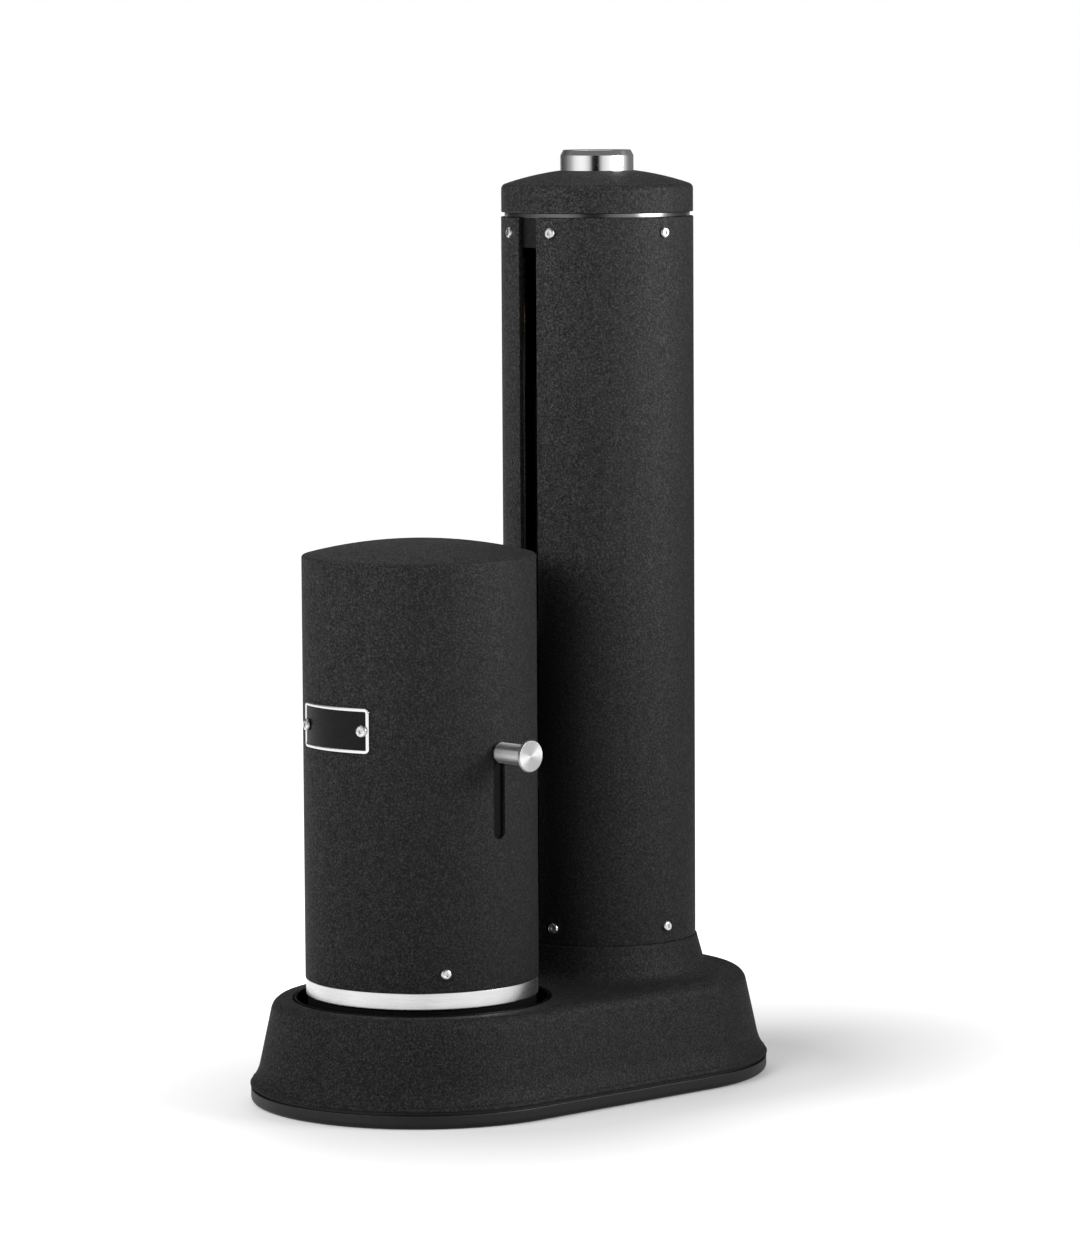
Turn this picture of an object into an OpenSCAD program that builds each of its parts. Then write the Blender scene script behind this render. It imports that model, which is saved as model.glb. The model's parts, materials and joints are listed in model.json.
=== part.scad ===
// Countertop sparkling-water maker: a stadium-shaped base carries a tall slotted column with a gas
// cylinder inside. A domed front shell slides up the column and covers the bottle chamber. A side
// lever lowers the nozzle on to the bottle, and the button on top of the column opens the gas valve.
// Origin: middle of the foot on the floor. +Z is up, -Y is the front, and +X is the lever side.

/* [Overall] */
// Height from the floor to the top of the push button
total_h = 414; // [408:1:424]
// Width of the base across its sides
base_w = 153; // [150:1:164]
// Length of the base, front to back
base_l = 258; // [252:1:276]
// Distance of the column's axis behind the middle of the base
col_y = 54.5; // [53:0.5:60]
// Distance of the front shell's axis in front of the middle of the base
shell_y = 53.4; // [52:0.2:58]

/* [Base] */
// Height of the base's top face
base_h = 45.5; // [44:0.5:50]
// Height of the dark foot band
foot_h = 7.2; // [6:0.2:9]
// How far the top edge stands in from the foot edge
side_run = 10.5; // [9:0.5:12]
// Height where the side starts to flare out to the foot
flare_h = 17; // [14:0.5:20]
// How far the flare runs out
flare_run = 4.45; // [3.5:0.05:5.5]
// Height of the upright outer edge over the foot band
edge_lip = 0.9; // [0.6:0.1:2]
// Rounding of the base's top edge
base_edge_r = 6; // [3:0.5:7]
// Wall of the base casting
base_wall = 3; // [2.5:0.25:3.5]
// Wall of the round well in the base
well_wall = 2; // [1.5:0.25:2.5]
// Diameter of the well in the base's top
well_d = 113.2; // [112:0.2:116]
// Depth of the well's tray below the base's top
tray_depth = 9.5; // [8:0.5:12]
// Wall of the tray
tray_wall = 0.8; // [0.6:0.1:1.5]
// Thickness of the tray's floor
tray_floor_t = 1.6; // [1.2:0.1:2.5]
// Width of the groove round the tray's lip
lip_groove = 0.6; // [0.4:0.1:1]
// Diameter of the steel drip plate
drip_d = 93; // [88:0.5:94]
// Thickness of the drip plate
drip_t = 2; // [1:0.25:2.5]
// Height of the rubber ring that the shell lands on
landing_h = 11; // [8:0.1:12]
// Width of the foot band's ring
foot_band_w = 6.2; // [5:0.1:8]
// Rounding of the foot band's lower edge
foot_round = 2.4; // [1:0.2:3]
// Thickness of the bottom plate
bottom_t = 3; // [2:0.25:4]

/* [Column] */
// Outside diameter of the column tube
col_d = 85.8; // [84:0.2:88]
// Wall of the column tube
col_wall = 2.5; // [2:0.25:2.5]
// Height of the seam between the base's collar and the column tube
col_bottom = 61.8; // [58:0.2:68]
// Width of the slot down the column's front
col_slot_w = 11; // [10.4:0.2:13]
// Height of the frames that plug the tube's two ends
frame_h = 13.2; // [11:0.2:16]
// Height of the column foot's flange
flange_t = 3.5; // [2.5:0.25:5]
// Diameter of the guide rods
rod_d = 4; // [3:0.2:4.4]
// Angle of each guide rod from the slot
rod_angle = 24; // [22.5:0.5:28]
// Angle of the front column screws from the slot
col_screw_angle = 17.7; // [15:0.1:18]

/* [Cap and button] */
// Height of the steel ring under the cap
cap_ring_h = 2; // [1:0.25:3]
// How far the steel ring stands in from the tube
cap_ring_in = 1.6; // [1:0.1:2.4]
// Height of the cap's upright side
cap_side_h = 13.1; // [10:0.1:18]
// Radius of the cap's domed top
cap_dome_r = 128; // [100:1:220]
// Wall of the cap
cap_wall = 2.5; // [2:0.25:3]
// Diameter of the push button
button_d = 32.6; // [28:0.2:36]
// Height of the button above the top of the dome
button_proud = 7; // [5:0.5:10]
// Travel of the push button
button_travel = 3; // [2:0.25:4]
// Bevel round the button's top
button_bevel = 1.3; // [0.8:0.1:2]

/* [Front shell] */
// Outside diameter of the front shell
shell_d = 102.3; // [100:0.1:104]
// Wall of the front shell
shell_wall = 1.5; // [1.2:0.1:1.6]
// Height of the shell's lower edge
shell_bottom = 54.8; // [52:0.2:60]
// Height of the top of the shell's dome
shell_top = 246.5; // [242:0.5:256]
// Radius of the shell's dome
shell_dome_r = 200; // [160:5:260]
// Chamfer round the shell's shoulder
shoulder = 0.8; // [0.4:0.1:1.5]
// How high the shell lifts
lift = 160; // [130:5:160]
// Wall of the steel trim ring's lower band
trim_wall = 3.3; // [2.6:0.1:4]
// Height of the trim ring's spigot inside the shell
spigot_h = 14; // [11:0.5:18]
// Height of the screws above the shell's lower edge
shell_screw_up = 8.1; // [6:0.1:10]
// Inside diameter of the chamber liner
liner_d = 86; // [84:0.5:86.4]
// Wall of the chamber liner
liner_wall = 1.6; // [1.2:0.1:1.8]

/* [Name plate] */
// Width of the plate's frame, straight across
plate_w = 41.8; // [34:0.2:50]
// Height of the plate's frame
plate_h = 19.6; // [14:0.1:28]
// Height of the plate's middle above the floor
plate_z = 167.9; // [150:0.1:190]
// Width of the frame's border
plate_border = 1.5; // [1.2:0.1:1.7]
// Angle between each of the plate's screws and the front
plate_screw_a = 20; // [17:0.25:20.25]
// Diameter of the heads of the plate's screws
plate_head_d = 5.3; // [4.8:0.1:5.6]

/* [Carriage] */
// Height of the carriage's lower end above the column foot
carriage_up = 54.4; // [50:0.2:60]
// Length of the arm that reaches through the column's slot, above and below its middle screws
arm_margin = 9.5; // [7:0.5:12]
// Thickness of the pad behind the shell
pad_t = 3; // [2:0.25:4]
// Length of the carriage's bushes
bush_l = 12; // [8:0.5:16]

/* [Lever and nozzle] */
// Height of the side lever when it is up
lever_z = 157.4; // [150:0.2:166]
// Travel of the side lever
lever_travel = 34.5; // [26:0.5:38]
// Width of the lever's slot
lever_slot_w = 6.5; // [5.6:0.1:7.5]
// Diameter of the lever's peg
peg_d = 9; // [7.6:0.1:10]
// Length of the lever from the shell to its end face
lever_l = 20.2; // [16:0.1:26]
// Diameter of the lever's round head
lever_head_d = 14.2; // [11:0.1:18]
// Thickness of the lever's head
lever_head_t = 2.6; // [2:0.1:3.2]
// Width of the yoke's straps
strap_w = 14; // [11:0.5:16]
// Thickness of the yoke's straps
strap_t = 1.6; // [1.2:0.1:1.8]
// Diameter of the nozzle's head
nozzle_d = 34; // [30:0.5:40]
// Height of the nozzle's head
nozzle_h = 12; // [10:0.5:14]
// Length of the nozzle's tube below the seal
tube_l = 107; // [80:1:115]

/* [Gas cylinder] */
// Diameter of the gas cylinder
gas_d = 60; // [56:0.5:60]
// Height of the gas cylinder's bottom above the floor
gas_bottom = 12; // [10:0.5:20]
// Wall of the gas cylinder
gas_wall = 2.5; // [2:0.25:4]

/* [Screws and hose] */
// Diameter of the button-head screws' heads
head_d = 4.8; // [4.2:0.1:5.2]
// Height of the button-head screws' heads
head_h = 1.4; // [1:0.1:1.8]
// Diameter of the button-head screws' shanks
shank_d = 2.5; // [2:0.1:2.6]
// Diameter of the assembly screws' shanks
bolt_d = 3; // [2.5:0.1:3.2]
// Outside diameter of the pressure hose
hose_d = 4; // [3.2:0.1:4]
// Bore of the pressure hose
hose_bore = 2.2; // [1.4:0.1:2.4]

/* [Hidden] */
$fn = 96;
eps = 0.02;            // clearance of a seated pin or bush
gap = 0.3;             // clearance between pieces that move past each other
run = 0.05;            // radial clearance of a running shaft
arc_n = 6;             // steps in a small rounding
cut = 1;               // how far a cut runs past a face
radial_cut = 10;       // length of a cut through a side wall

// Base: the plan is two half circles of base_r joined by straight sides
base_r = base_w / 2;
end_y = (base_l - base_w) / 2;
corner = [base_r - side_run, base_h];
flare = [base_r - flare_run, flare_h];
lean = atan2(flare.x - corner.x, corner.y - flare.y);
lean_n = [cos(lean), sin(lean)];
edge_c = [corner.x - base_edge_r * (1 - sin(lean)) / cos(lean), base_h - base_edge_r];
flare_end = [base_r, foot_h + edge_lip];
flare_chord = flare_end - flare;
flare_r = (flare_chord * flare_chord) / (2 * flare_chord * lean_n);
flare_c = flare + flare_r * lean_n;
flare_a0 = 180 + lean;
flare_a1 = 360 + atan2(flare_end.y - flare_c.y, flare_end.x - flare_c.x);
ceiling_z = base_h - base_wall;

// Well, tray and what stands in it
well_r = well_d / 2;
tray_r = well_r - lip_groove;
tray_z = base_h - tray_depth;
ledge_z = tray_z - tray_floor_t;
ledge_t = 3.2;
ledge_in = 7;
tray_lip_up = 0.3;
drip_r = drip_d / 2;
drip_hole_d = 3;
drip_rings = 3;
landing_in = drip_r + 0.7;
landing_out = shell_d / 2 - 1;

// Collar that carries the column
col_r = col_d / 2;
col_bore = col_r - col_wall;
collar_top_r = col_r + 0.8;
collar_low_r = col_r + 3;
collar_fillet = 8;
collar_round = 1;

// Column foot, bolts and the gas cylinder's bay
fit = 0.2;             // gap of a frame inside the tube
frame_r = col_bore - fit;
gas_r = gas_d / 2;
bay_r = gas_r + 2;
bay_mouth_r = bay_r + 2;
flange_r = col_r + 5.6;
foot_top = col_bottom + frame_h + 1.5;
bolt_r = bolt_d / 2;
bolt_room = 0.15;      // clearance of a bolt in the piece that it passes through
foot_bolt_at = col_bore + 3.8;
foot_bolt_up = 6;
foot_bolt_angles = [45:90:315];
bolt_tip = 0.5;        // room past a bolt's end
bolt_head_r = bolt_r + 1.6;
bolt_head_h = 2;

// Bottom plate and its screws
foot_out = base_r - 0.3;
foot_in = foot_out - foot_band_w;
bottom_r = foot_in - fit;
boss_r = 3.4;
bottom_screw_l = 12;
boss_out = well_r + well_wall + boss_r + 1;
boss_angle = 35;
boss_front = [boss_out * sin(boss_angle), -shell_y - boss_out * cos(boss_angle)];
boss_mid = [base_r - side_run - base_wall - boss_r - 1.6, 2];
boss_rear = [base_r * 0.47, end_y + base_r * 0.6];
boss_places = [for (s = [-1, 1], p = [boss_front, boss_mid, boss_rear]) [s * p.x, p.y]];

// Heights up the column
cap_r = col_r - 0.1;
dome_rise = cap_dome_r - sqrt(cap_dome_r * cap_dome_r - cap_r * cap_r);
cap_apex = total_h - button_proud;
cap_bottom = cap_apex - dome_rise - cap_side_h;
cap_screw_at = cap_r - cap_wall - 9;
cap_boss_r = bolt_r + 2.4;
cap_boss_far = cap_screw_at + cap_boss_r;
cap_boss_cover = 0.3;
cap_boss_drop = cap_dome_r - sqrt(cap_dome_r * cap_dome_r - cap_boss_far * cap_boss_far);
cap_boss_top = cap_apex - cap_boss_drop - cap_boss_cover;
cap_screw_grip = 8;
tube_top = cap_bottom - cap_ring_h;
frame_z = tube_top - frame_h;
lower_screw_z = col_bottom + frame_h / 2 + 0.75;
upper_screw_z = tube_top - frame_h / 2;
col_screw_angles = [-90, -col_screw_angle, col_screw_angle, 90, 180];
screw_grip = 9;

// Guide rods and the carriage that runs on them
rod_r = rod_d / 2;
rod_at = (col_bore + gas_r + 2) / 2;
rod_bottom = foot_top - 7;
rod_top = frame_z + 7;
stop_h = 4.8;
stop_r = rod_r + 2;
bush_r = rod_r + 1;
carriage_in = bay_r;
carriage_out = col_bore - gap;
carriage_span = 46;
carriage_top = frame_z - stop_h - 2 * gap - lift;
carriage_z = foot_top + carriage_up;
carriage_l = carriage_top - carriage_z;
arm_w = col_slot_w - 2;
arm_z = carriage_z + arm_margin;
arm_l = carriage_l - 2 * arm_margin;
pad_span = 15;
pad_margin = 6;
pad_l = arm_l + 2 * pad_margin;
arm_screw_angle = 10;
arm_screw_zs = [arm_z, arm_z + arm_l];

// Front shell, trim ring and liner
shell_r = shell_d / 2;
shell_in = shell_r - shell_wall;
trim_r = shell_r - 0.25;
trim_in = trim_r - trim_wall;
trim_z = tray_z + landing_h + gap;
spigot_r = shell_in - fit;
shell_screw_z = shell_bottom + shell_screw_up;
liner_r = liner_d / 2;
liner_out = liner_r + liner_wall;
liner_z = trim_z + 5;
liner_foot_h = 3;
rib_w = 2.5;

// Yoke, nozzle and lever: they slide down together
strap_in = liner_out + gap;
strap_out = strap_in + strap_t;
block_in = strap_out + run;
block_out = block_in + 1.6;
shutter_in = block_out + run;
shutter_out = shell_in - gap;
beam_t = 3;
head_room = 3.2;
yoke_top = shell_top - shell_wall - strap_out * strap_out / (2 * shell_dome_r) - head_room;
beam_z = yoke_top - beam_t;
nozzle_r = nozzle_d / 2;
nozzle_z = beam_z - nozzle_h;
seal_r = nozzle_r - 3;
seal_h = 4;
seal_z = nozzle_z - seal_h;
liner_top = beam_z - lever_travel - 3.5;
tube_r = 2.5;
tube_bore = 1.5;
tip_r = 3.2;
tip_h = 6;
tip_z = seal_z - tube_l - tip_h;
strap_bottom = lever_z - 9;
block_h = 20;
slot_top_z = lever_z + 0.5;
slot_low_z = lever_z - lever_travel;
slot_r = lever_slot_w / 2;
neck_r = slot_r - 0.25;
peg_r = peg_d / 2;
peg_x = shell_r + 1.1;
head_x = shell_r + lever_l - lever_head_t;
groove_w = 0.8;
lever_head_r = lever_head_d / 2;
lever_chamfer = 0.5;
lever_rim = 0.4;
shutter_w = lever_slot_w + 5;
shutter_up = lever_travel + lever_slot_w;

// Gas cylinder, its valve and the socket that it screws into
socket_boss_r = 16;
socket_r = 13.5;
thread_r = 10.5;
valve_drop = 14.3;
valve_top = frame_z - valve_drop;
valve_thread_l = 15;
valve_hex_l = 7;
valve_hex_r = 13;
valve_stub_l = 13;
valve_stub_r = 8;
neck_out = 14;
neck_l = 5;
neck_top = valve_top - valve_thread_l - valve_hex_l;
shoulder_h = 28;
gas_round = 8;
pin_r = 1.5;
pin_proud = 3;
pin_l = 11;
pin_z = valve_top + pin_proud - pin_l;
thread_engaged = 12.7;
socket_bottom = valve_top - thread_engaged;
seal_gap = 0.2;
seal_t = 1.8;
socket_web = 3.9;
socket_top = valve_top + seal_gap + seal_t + socket_web;

// Button, stem, bush and spring
button_r = button_d / 2;
button_hole_r = button_r + gap;
flange_w = 1.9;
button_flange_t = 2;
button_wall = 2;
under_dome = cap_apex - cap_wall - (button_r + flange_w) * (button_r + flange_w) / (2 * cap_dome_r);
button_z = under_dome - 0.4 - button_flange_t;
button_boss_r = 9.5;
button_boss_z = button_z + button_flange_t + 1;
stem_r = 3;
stem_top = button_boss_z + 2;
pusher_r = 1.8;
pusher_z = valve_top + pin_proud + gap;
bush_flange_r = 10;
bush_flange_t = 2;
bush_out = 6;
bush_deep = 11.5;
bush_z = tube_top - bush_deep;
spring_r = 7.5;
wire_r = 0.5;
spring_turns = 5;

// Hose: one leg hangs from the top frame, the other rises to the carriage
hose_r = hose_d / 2;
hose_at = rod_at - 0.9;
hose_a0 = 40;
hose_a1 = 80;
hose_bend_r = hose_at * sin((hose_a1 - hose_a0) / 2);
fitting_h = 8;
fitting_r = hose_r + 1.1;
hose_top = frame_z - fitting_h;
hose_up = carriage_z - fitting_h;
hose_low = hose_up - 12;
inner_hose_at = liner_out + (shell_in - liner_out) / 2;
port_z = arm_z + arm_l / 4;
port_h = 8;
inner_bend_r = 10;
inner_hose_z = nozzle_z + nozzle_h / 2;

// Name plate
plate_round = 2;
plate_t = 0.8;
plate_frame_t = 1.2;
plate_seat = 0.05;

// ---------------------------------------------------------------- helpers

// Places its children on the front shell's axis
module at_shell() translate([0, -shell_y, 0]) children();

// Places its children on the column's axis
module at_column() translate([0, col_y, 0]) children();

// Turns its children so that +X points outwards at an angle from the front, at a height
module radial(a, z) translate([0, 0, z]) rotate([0, 0, a - 90]) children();

// Points on an arc about c
function arc(c, r, a0, a1, n = arc_n) =
    [for (i = [0:n]) c + r * [cos(a0 + (a1 - a0) * i / n), sin(a0 + (a1 - a0) * i / n)]];

// A ring, or a disc where the inner radius is 0
module ring(r_out, r_in, h, z) {
    translate([0, 0, z]) difference() {
        cylinder(r = r_out, h = h);
        if (r_in > 0) translate([0, 0, -1]) cylinder(r = r_in, h = h + 2);
    }
}

// Part of a ring: it spans an angle each side of the direction a from the front
module ring_part(r_out, r_in, h, z, a, half) {
    translate([0, 0, z]) rotate([0, 0, a - 90 - half]) rotate_extrude(angle = 2 * half)
        translate([r_in, 0]) square([r_out - r_in, h]);
}

// A stadium: the child is the profile from the middle to the edge, and half is half the straight side
module stadium(half) {
    translate([0, half, 0]) rotate_extrude(angle = 180) children();
    translate([0, -half, 0]) rotate([0, 0, 180]) rotate_extrude(angle = 180) children();
    translate([0, half, 0]) rotate([90, 0, 0]) linear_extrude(2 * half) {
        children();
        mirror([1, 0]) children();
    }
}

// Half the section of a domed round body, from its axis outwards
module dome_section(r, dome_r, apex, z0, chamfer) {
    rim_z = apex - dome_r + sqrt(dome_r * dome_r - r * r);
    difference() {
        intersection() {
            translate([0, apex - dome_r]) circle(r = dome_r, $fn = 360);
            translate([0, z0]) square([r, apex - z0 + 1]);
        }
        polygon([[r + 1, rim_z - chamfer - 1], [r + 1, rim_z + 2], [r - chamfer - 2, rim_z + 2]]);
    }
}

// A button-head screw along X: its head sits on seat and its shank runs inwards
module button_screw(seat, grip, d = head_d) {
    translate([seat, 0, 0]) rotate([0, 90, 0]) difference() {
        union() {
            cylinder(r = d / 2, h = head_h * 0.4);
            translate([0, 0, head_h * 0.4]) cylinder(r1 = d / 2, r2 = d * 0.32, h = head_h * 0.6);
        }
        translate([0, 0, head_h * 0.35]) cylinder(r = d * 0.19, h = head_h, $fn = 6);
    }
    translate([seat - grip, 0, 0]) rotate([0, 90, 0]) cylinder(r = shank_d / 2, h = grip);
}

// An assembly screw that points up: its head hangs under z
module bolt_up(z, l) {
    translate([0, 0, z]) cylinder(r = bolt_r, h = l);
    translate([0, 0, z - bolt_head_h]) difference() {
        cylinder(r = bolt_head_r, h = bolt_head_h);
        translate([0, 0, -1]) cylinder(r = bolt_r * 0.8, h = 1 + bolt_head_h / 2, $fn = 6);
    }
}

// Holes for the button-head screws of the column
module column_screw_holes(z) {
    for (a = col_screw_angles) radial(a, z) translate([col_r - screw_grip - 1, 0, 0])
        rotate([0, 90, 0]) cylinder(r = shank_d / 2 + run, h = screw_grip + 2);
}

// A barbed hose fitting that points down from z
module fitting_down(z) {
    translate([0, 0, z - 3]) cylinder(r = fitting_r + 0.6, h = 3, $fn = 6);
    translate([0, 0, z - fitting_h]) cylinder(r = fitting_r, h = fitting_h - 3);
}

// A wire wound in a helix, with its lower end at z0
module helix(coil_r, wire, turns, h, z0) {
    sides = 8;
    steps = 18 * turns;
    pitch_a = atan2(h, 2 * PI * coil_r * turns);
    points = [for (i = [0:steps], j = [0:sides - 1])
        let (t = 360 * turns * i / steps, s = 360 * j / sides,
            out = wire * cos(s), up = wire * sin(s))
        [(coil_r + out) * cos(t) + up * sin(pitch_a) * sin(t),
         (coil_r + out) * sin(t) - up * sin(pitch_a) * cos(t),
         z0 + h * i / steps + up * cos(pitch_a)]];
    faces = concat(
        [[for (j = [0:sides - 1]) j]],
        [for (i = [0:steps - 1], j = [0:sides - 1]) let (k = (j + 1) % sides)
            [i * sides + j, (i + 1) * sides + j, (i + 1) * sides + k, i * sides + k]],
        [[for (j = [0:sides - 1]) steps * sides + sides - 1 - j]]);
    polyhedron(points, faces, convexity = 10);
}

// ---------------------------------------------------------------- base

// Outer section of the base, from the middle of its end circle
module base_section() {
    polygon(concat([[0, foot_h], [0, base_h]],
        arc(edge_c, base_edge_r, 90, lean),
        arc(flare_c, flare_r, flare_a0, flare_a1),
        [[base_r, foot_h]]));
}

// Section of the hollow under the base
module hollow_section() {
    side = base_wall / cos(lean);
    polygon([[0, foot_h - 1], [base_r - base_wall - 1.8, foot_h - 1], [flare.x - side, flare_h],
        [corner.x - side, ceiling_z], [0, ceiling_z]]);
}

// Section of the collar, which sweeps up from the base's top to the column
module collar_section() {
    foot_z = base_h - 1;
    foot_r = collar_low_r + collar_fillet;
    polygon(concat([[0, foot_z], [foot_r, foot_z], [foot_r, base_h]],
        arc([foot_r, base_h + collar_fillet], collar_fillet, 270, 190),
        arc([collar_top_r - collar_round, col_bottom - collar_round], collar_round, 0, 90, 3),
        [[0, col_bottom]]));
}

// Painted casting with the collar, the well and the screw bosses
module base_shell() {
    color([0.09, 0.09, 0.095]) difference() {
        union() {
            difference() {
                union() {
                    stadium(end_y) base_section();
                    at_column() rotate_extrude() collar_section();
                }
                stadium(end_y) hollow_section();
            }
            at_shell() translate([0, 0, ledge_z - ledge_t])
                ring(well_r + well_wall, well_r - cut, ceiling_z - ledge_z + ledge_t + cut, 0);
            for (p = boss_places) translate([p.x, p.y, foot_h])
                cylinder(r = boss_r, h = ceiling_z - foot_h + cut);
        }
        at_shell() translate([0, 0, ledge_z]) cylinder(r = well_r, h = base_h);
        at_shell() cylinder(r = well_r - ledge_in, h = base_h);
        at_column() cylinder(r = col_bore, h = col_bottom + cut);
        for (p = boss_places) translate([p.x, p.y, foot_h - cut])
            cylinder(r = bolt_r + run, h = bottom_screw_l + cut);
        for (a = foot_bolt_angles) at_column() radial(a, ceiling_z - cut) translate([foot_bolt_at, 0, 0])
            cylinder(r = bolt_r + run, h = foot_bolt_up + cut + bolt_tip);
    }
    color([0.09, 0.09, 0.095]) at_shell()
        ring(well_r + well_wall, well_r - ledge_in, ledge_t, ledge_z - ledge_t);
}

// Smooth dark ring that the machine stands on
module foot_band() {
    color([0.05, 0.05, 0.055]) stadium(end_y) polygon(concat(
        [[foot_in, 0], [foot_in, foot_h], [foot_out, foot_h]],
        arc([foot_out - foot_round, foot_round], foot_round, 0, -90)));
}

// Sheet that closes the base, open where the gas cylinder goes in
module bottom_plate() {
    color([0.13, 0.13, 0.135]) difference() {
        stadium(end_y) translate([0, foot_h - bottom_t]) square([bottom_r, bottom_t]);
        at_column() cylinder(r = bay_mouth_r, h = base_h);
        for (p = boss_places) translate([p.x, p.y, 0]) cylinder(r = bolt_r + bolt_room, h = base_h);
    }
}

// Screws that hold the bottom plate
module bottom_screws() {
    color([0.62, 0.62, 0.64]) for (p = boss_places) translate([p.x, p.y, 0])
        bolt_up(foot_h - bottom_t, bottom_t + bottom_screw_l - 2);
}

// Glossy tray with a thin lip, set into the well
module well_tray() {
    color([0.03, 0.03, 0.035]) at_shell() {
        ring(tray_r, tray_r - tray_wall, base_h + tray_lip_up - ledge_z, ledge_z);
        ring(tray_r - tray_wall / 2, 0, tray_floor_t, ledge_z);
    }
}

// Steel plate that the bottle stands on
module drip_plate() {
    color([0.72, 0.72, 0.73]) at_shell() difference() {
        ring(drip_r, 0, drip_t, tray_z);
        for (k = [1:drip_rings], i = [0:6 * k - 1]) radial(360 * i / (6 * k), tray_z - cut)
            translate([k * drip_r / (drip_rings + 1), 0, 0])
            cylinder(d = drip_hole_d, h = drip_t + 2 * cut, $fn = 24);
    }
}

// Rubber ring that the front shell lands on
module landing_ring() {
    color([0.06, 0.06, 0.06]) at_shell() ring(landing_out, landing_in, landing_h, tray_z);
}

// ---------------------------------------------------------------- column

// Cast ring that clamps the column to the base and guides the gas cylinder
module column_foot() {
    color([0.12, 0.12, 0.125]) at_column() difference() {
        union() {
            ring(frame_r, bay_r, foot_top - ceiling_z, ceiling_z);
            ring(flange_r, bay_r, flange_t, ceiling_z - flange_t);
        }
        column_screw_holes(lower_screw_z);
        for (s = [-1, 1]) radial(s * rod_angle, rod_bottom) translate([rod_at, 0, 0])
            cylinder(r = rod_r + eps, h = foot_top);
        for (a = foot_bolt_angles) radial(a, 0) translate([foot_bolt_at, 0, 0])
            cylinder(r = bolt_r + bolt_room, h = ceiling_z + bolt_tip);
    }
}

// Bolts that pull the column foot up against the base
module foot_bolts() {
    color([0.62, 0.62, 0.64]) at_column() for (a = foot_bolt_angles)
        radial(a, 0) translate([foot_bolt_at, 0, 0])
        bolt_up(ceiling_z - flange_t, flange_t + foot_bolt_up);
}

// Painted tube with the full-height slot for the carriage's arm
module column_tube() {
    color([0.09, 0.09, 0.095]) at_column() difference() {
        ring(col_r, col_bore, tube_top - col_bottom, col_bottom);
        translate([-col_slot_w / 2, -col_r - 1, col_bottom - 1]) cube([col_slot_w, col_r / 2, tube_top]);
        column_screw_holes(lower_screw_z);
        column_screw_holes(upper_screw_z);
    }
}

// One row of column screws
module column_screws(z) {
    color([0.75, 0.75, 0.76]) at_column() for (a = col_screw_angles)
        radial(a, z) button_screw(col_r + run, screw_grip);
}
module lower_column_screws() column_screws(lower_screw_z);
module upper_column_screws() column_screws(upper_screw_z);

// Block that plugs the top of the tube and holds the gas cylinder's socket
module top_frame() {
    color([0.12, 0.12, 0.125]) at_column() difference() {
        union() {
            ring(frame_r, 0, frame_h, frame_z);
            ring(socket_boss_r, 0, frame_z - socket_bottom + 1, socket_bottom);
        }
        translate([0, 0, socket_bottom - 1])
            cylinder(r = socket_r + eps, h = socket_top - socket_bottom + 1);
        translate([0, 0, socket_top - 1]) cylinder(r = stem_r + 0.2, h = frame_h + frame_z);
        translate([0, 0, bush_z]) cylinder(r = bush_out + eps, h = frame_h);
        column_screw_holes(upper_screw_z);
        for (s = [-1, 1]) radial(s * rod_angle, frame_z - 1) translate([rod_at, 0, 0])
            cylinder(r = rod_r + eps, h = rod_top - frame_z + 1);
        for (a = [0:120:240]) radial(a, frame_z - 1) translate([cap_screw_at, 0, 0]) {
            cylinder(r = bolt_r + bolt_room, h = frame_h + 2);
            cylinder(r = bolt_head_r + 0.2, h = bolt_head_h + 1);
        }
    }
}

// Steel rods that the carriage runs on
module guide_rods() {
    color([0.7, 0.7, 0.72]) at_column() for (s = [-1, 1]) radial(s * rod_angle, rod_bottom)
        translate([rod_at, 0, 0]) cylinder(r = rod_r, h = rod_top - rod_bottom);
}

// Rubber rings that stop the carriage under the top frame
module rod_stops() {
    color([0.06, 0.06, 0.06]) at_column() for (s = [-1, 1]) radial(s * rod_angle, 0)
        translate([rod_at, 0, 0]) ring(stop_r, rod_r + eps, stop_h, frame_z - stop_h);
}

// Bright ring that shows as a thin line under the cap
module cap_ring() {
    color([0.8, 0.8, 0.82]) at_column()
        ring(col_r - cap_ring_in, cap_r - cap_wall - 4, cap_ring_h, tube_top);
}

// Painted domed cap with the hole for the button
module column_cap() {
    inside = cap_r - cap_wall;
    color([0.09, 0.09, 0.095]) at_column() difference() {
        union() {
            difference() {
                rotate_extrude() dome_section(cap_r, cap_dome_r, cap_apex, cap_bottom, shoulder * 1.5);
                translate([0, 0, -1]) rotate_extrude()
                    dome_section(inside, cap_dome_r - cap_wall, cap_apex - cap_wall + 1, cap_bottom, 0);
            }
            for (a = [0:120:240]) radial(a, cap_bottom) translate([cap_screw_at, 0, 0])
                cylinder(r = cap_boss_r, h = cap_boss_top - cap_bottom);
        }
        translate([0, 0, cap_bottom]) cylinder(r = button_hole_r, h = total_h);
        for (a = [0:120:240]) radial(a, cap_bottom - 1) translate([cap_screw_at, 0, 0])
            cylinder(r = bolt_r + run, h = cap_screw_grip + 2);
    }
}

// Screws that hold the cap from below
module cap_screws() {
    color([0.62, 0.62, 0.64]) at_column() for (a = [0:120:240]) radial(a, 0) translate([cap_screw_at, 0, 0])
        bolt_up(frame_z + bolt_head_h, frame_h - bolt_head_h + cap_ring_h + cap_screw_grip);
}

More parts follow.
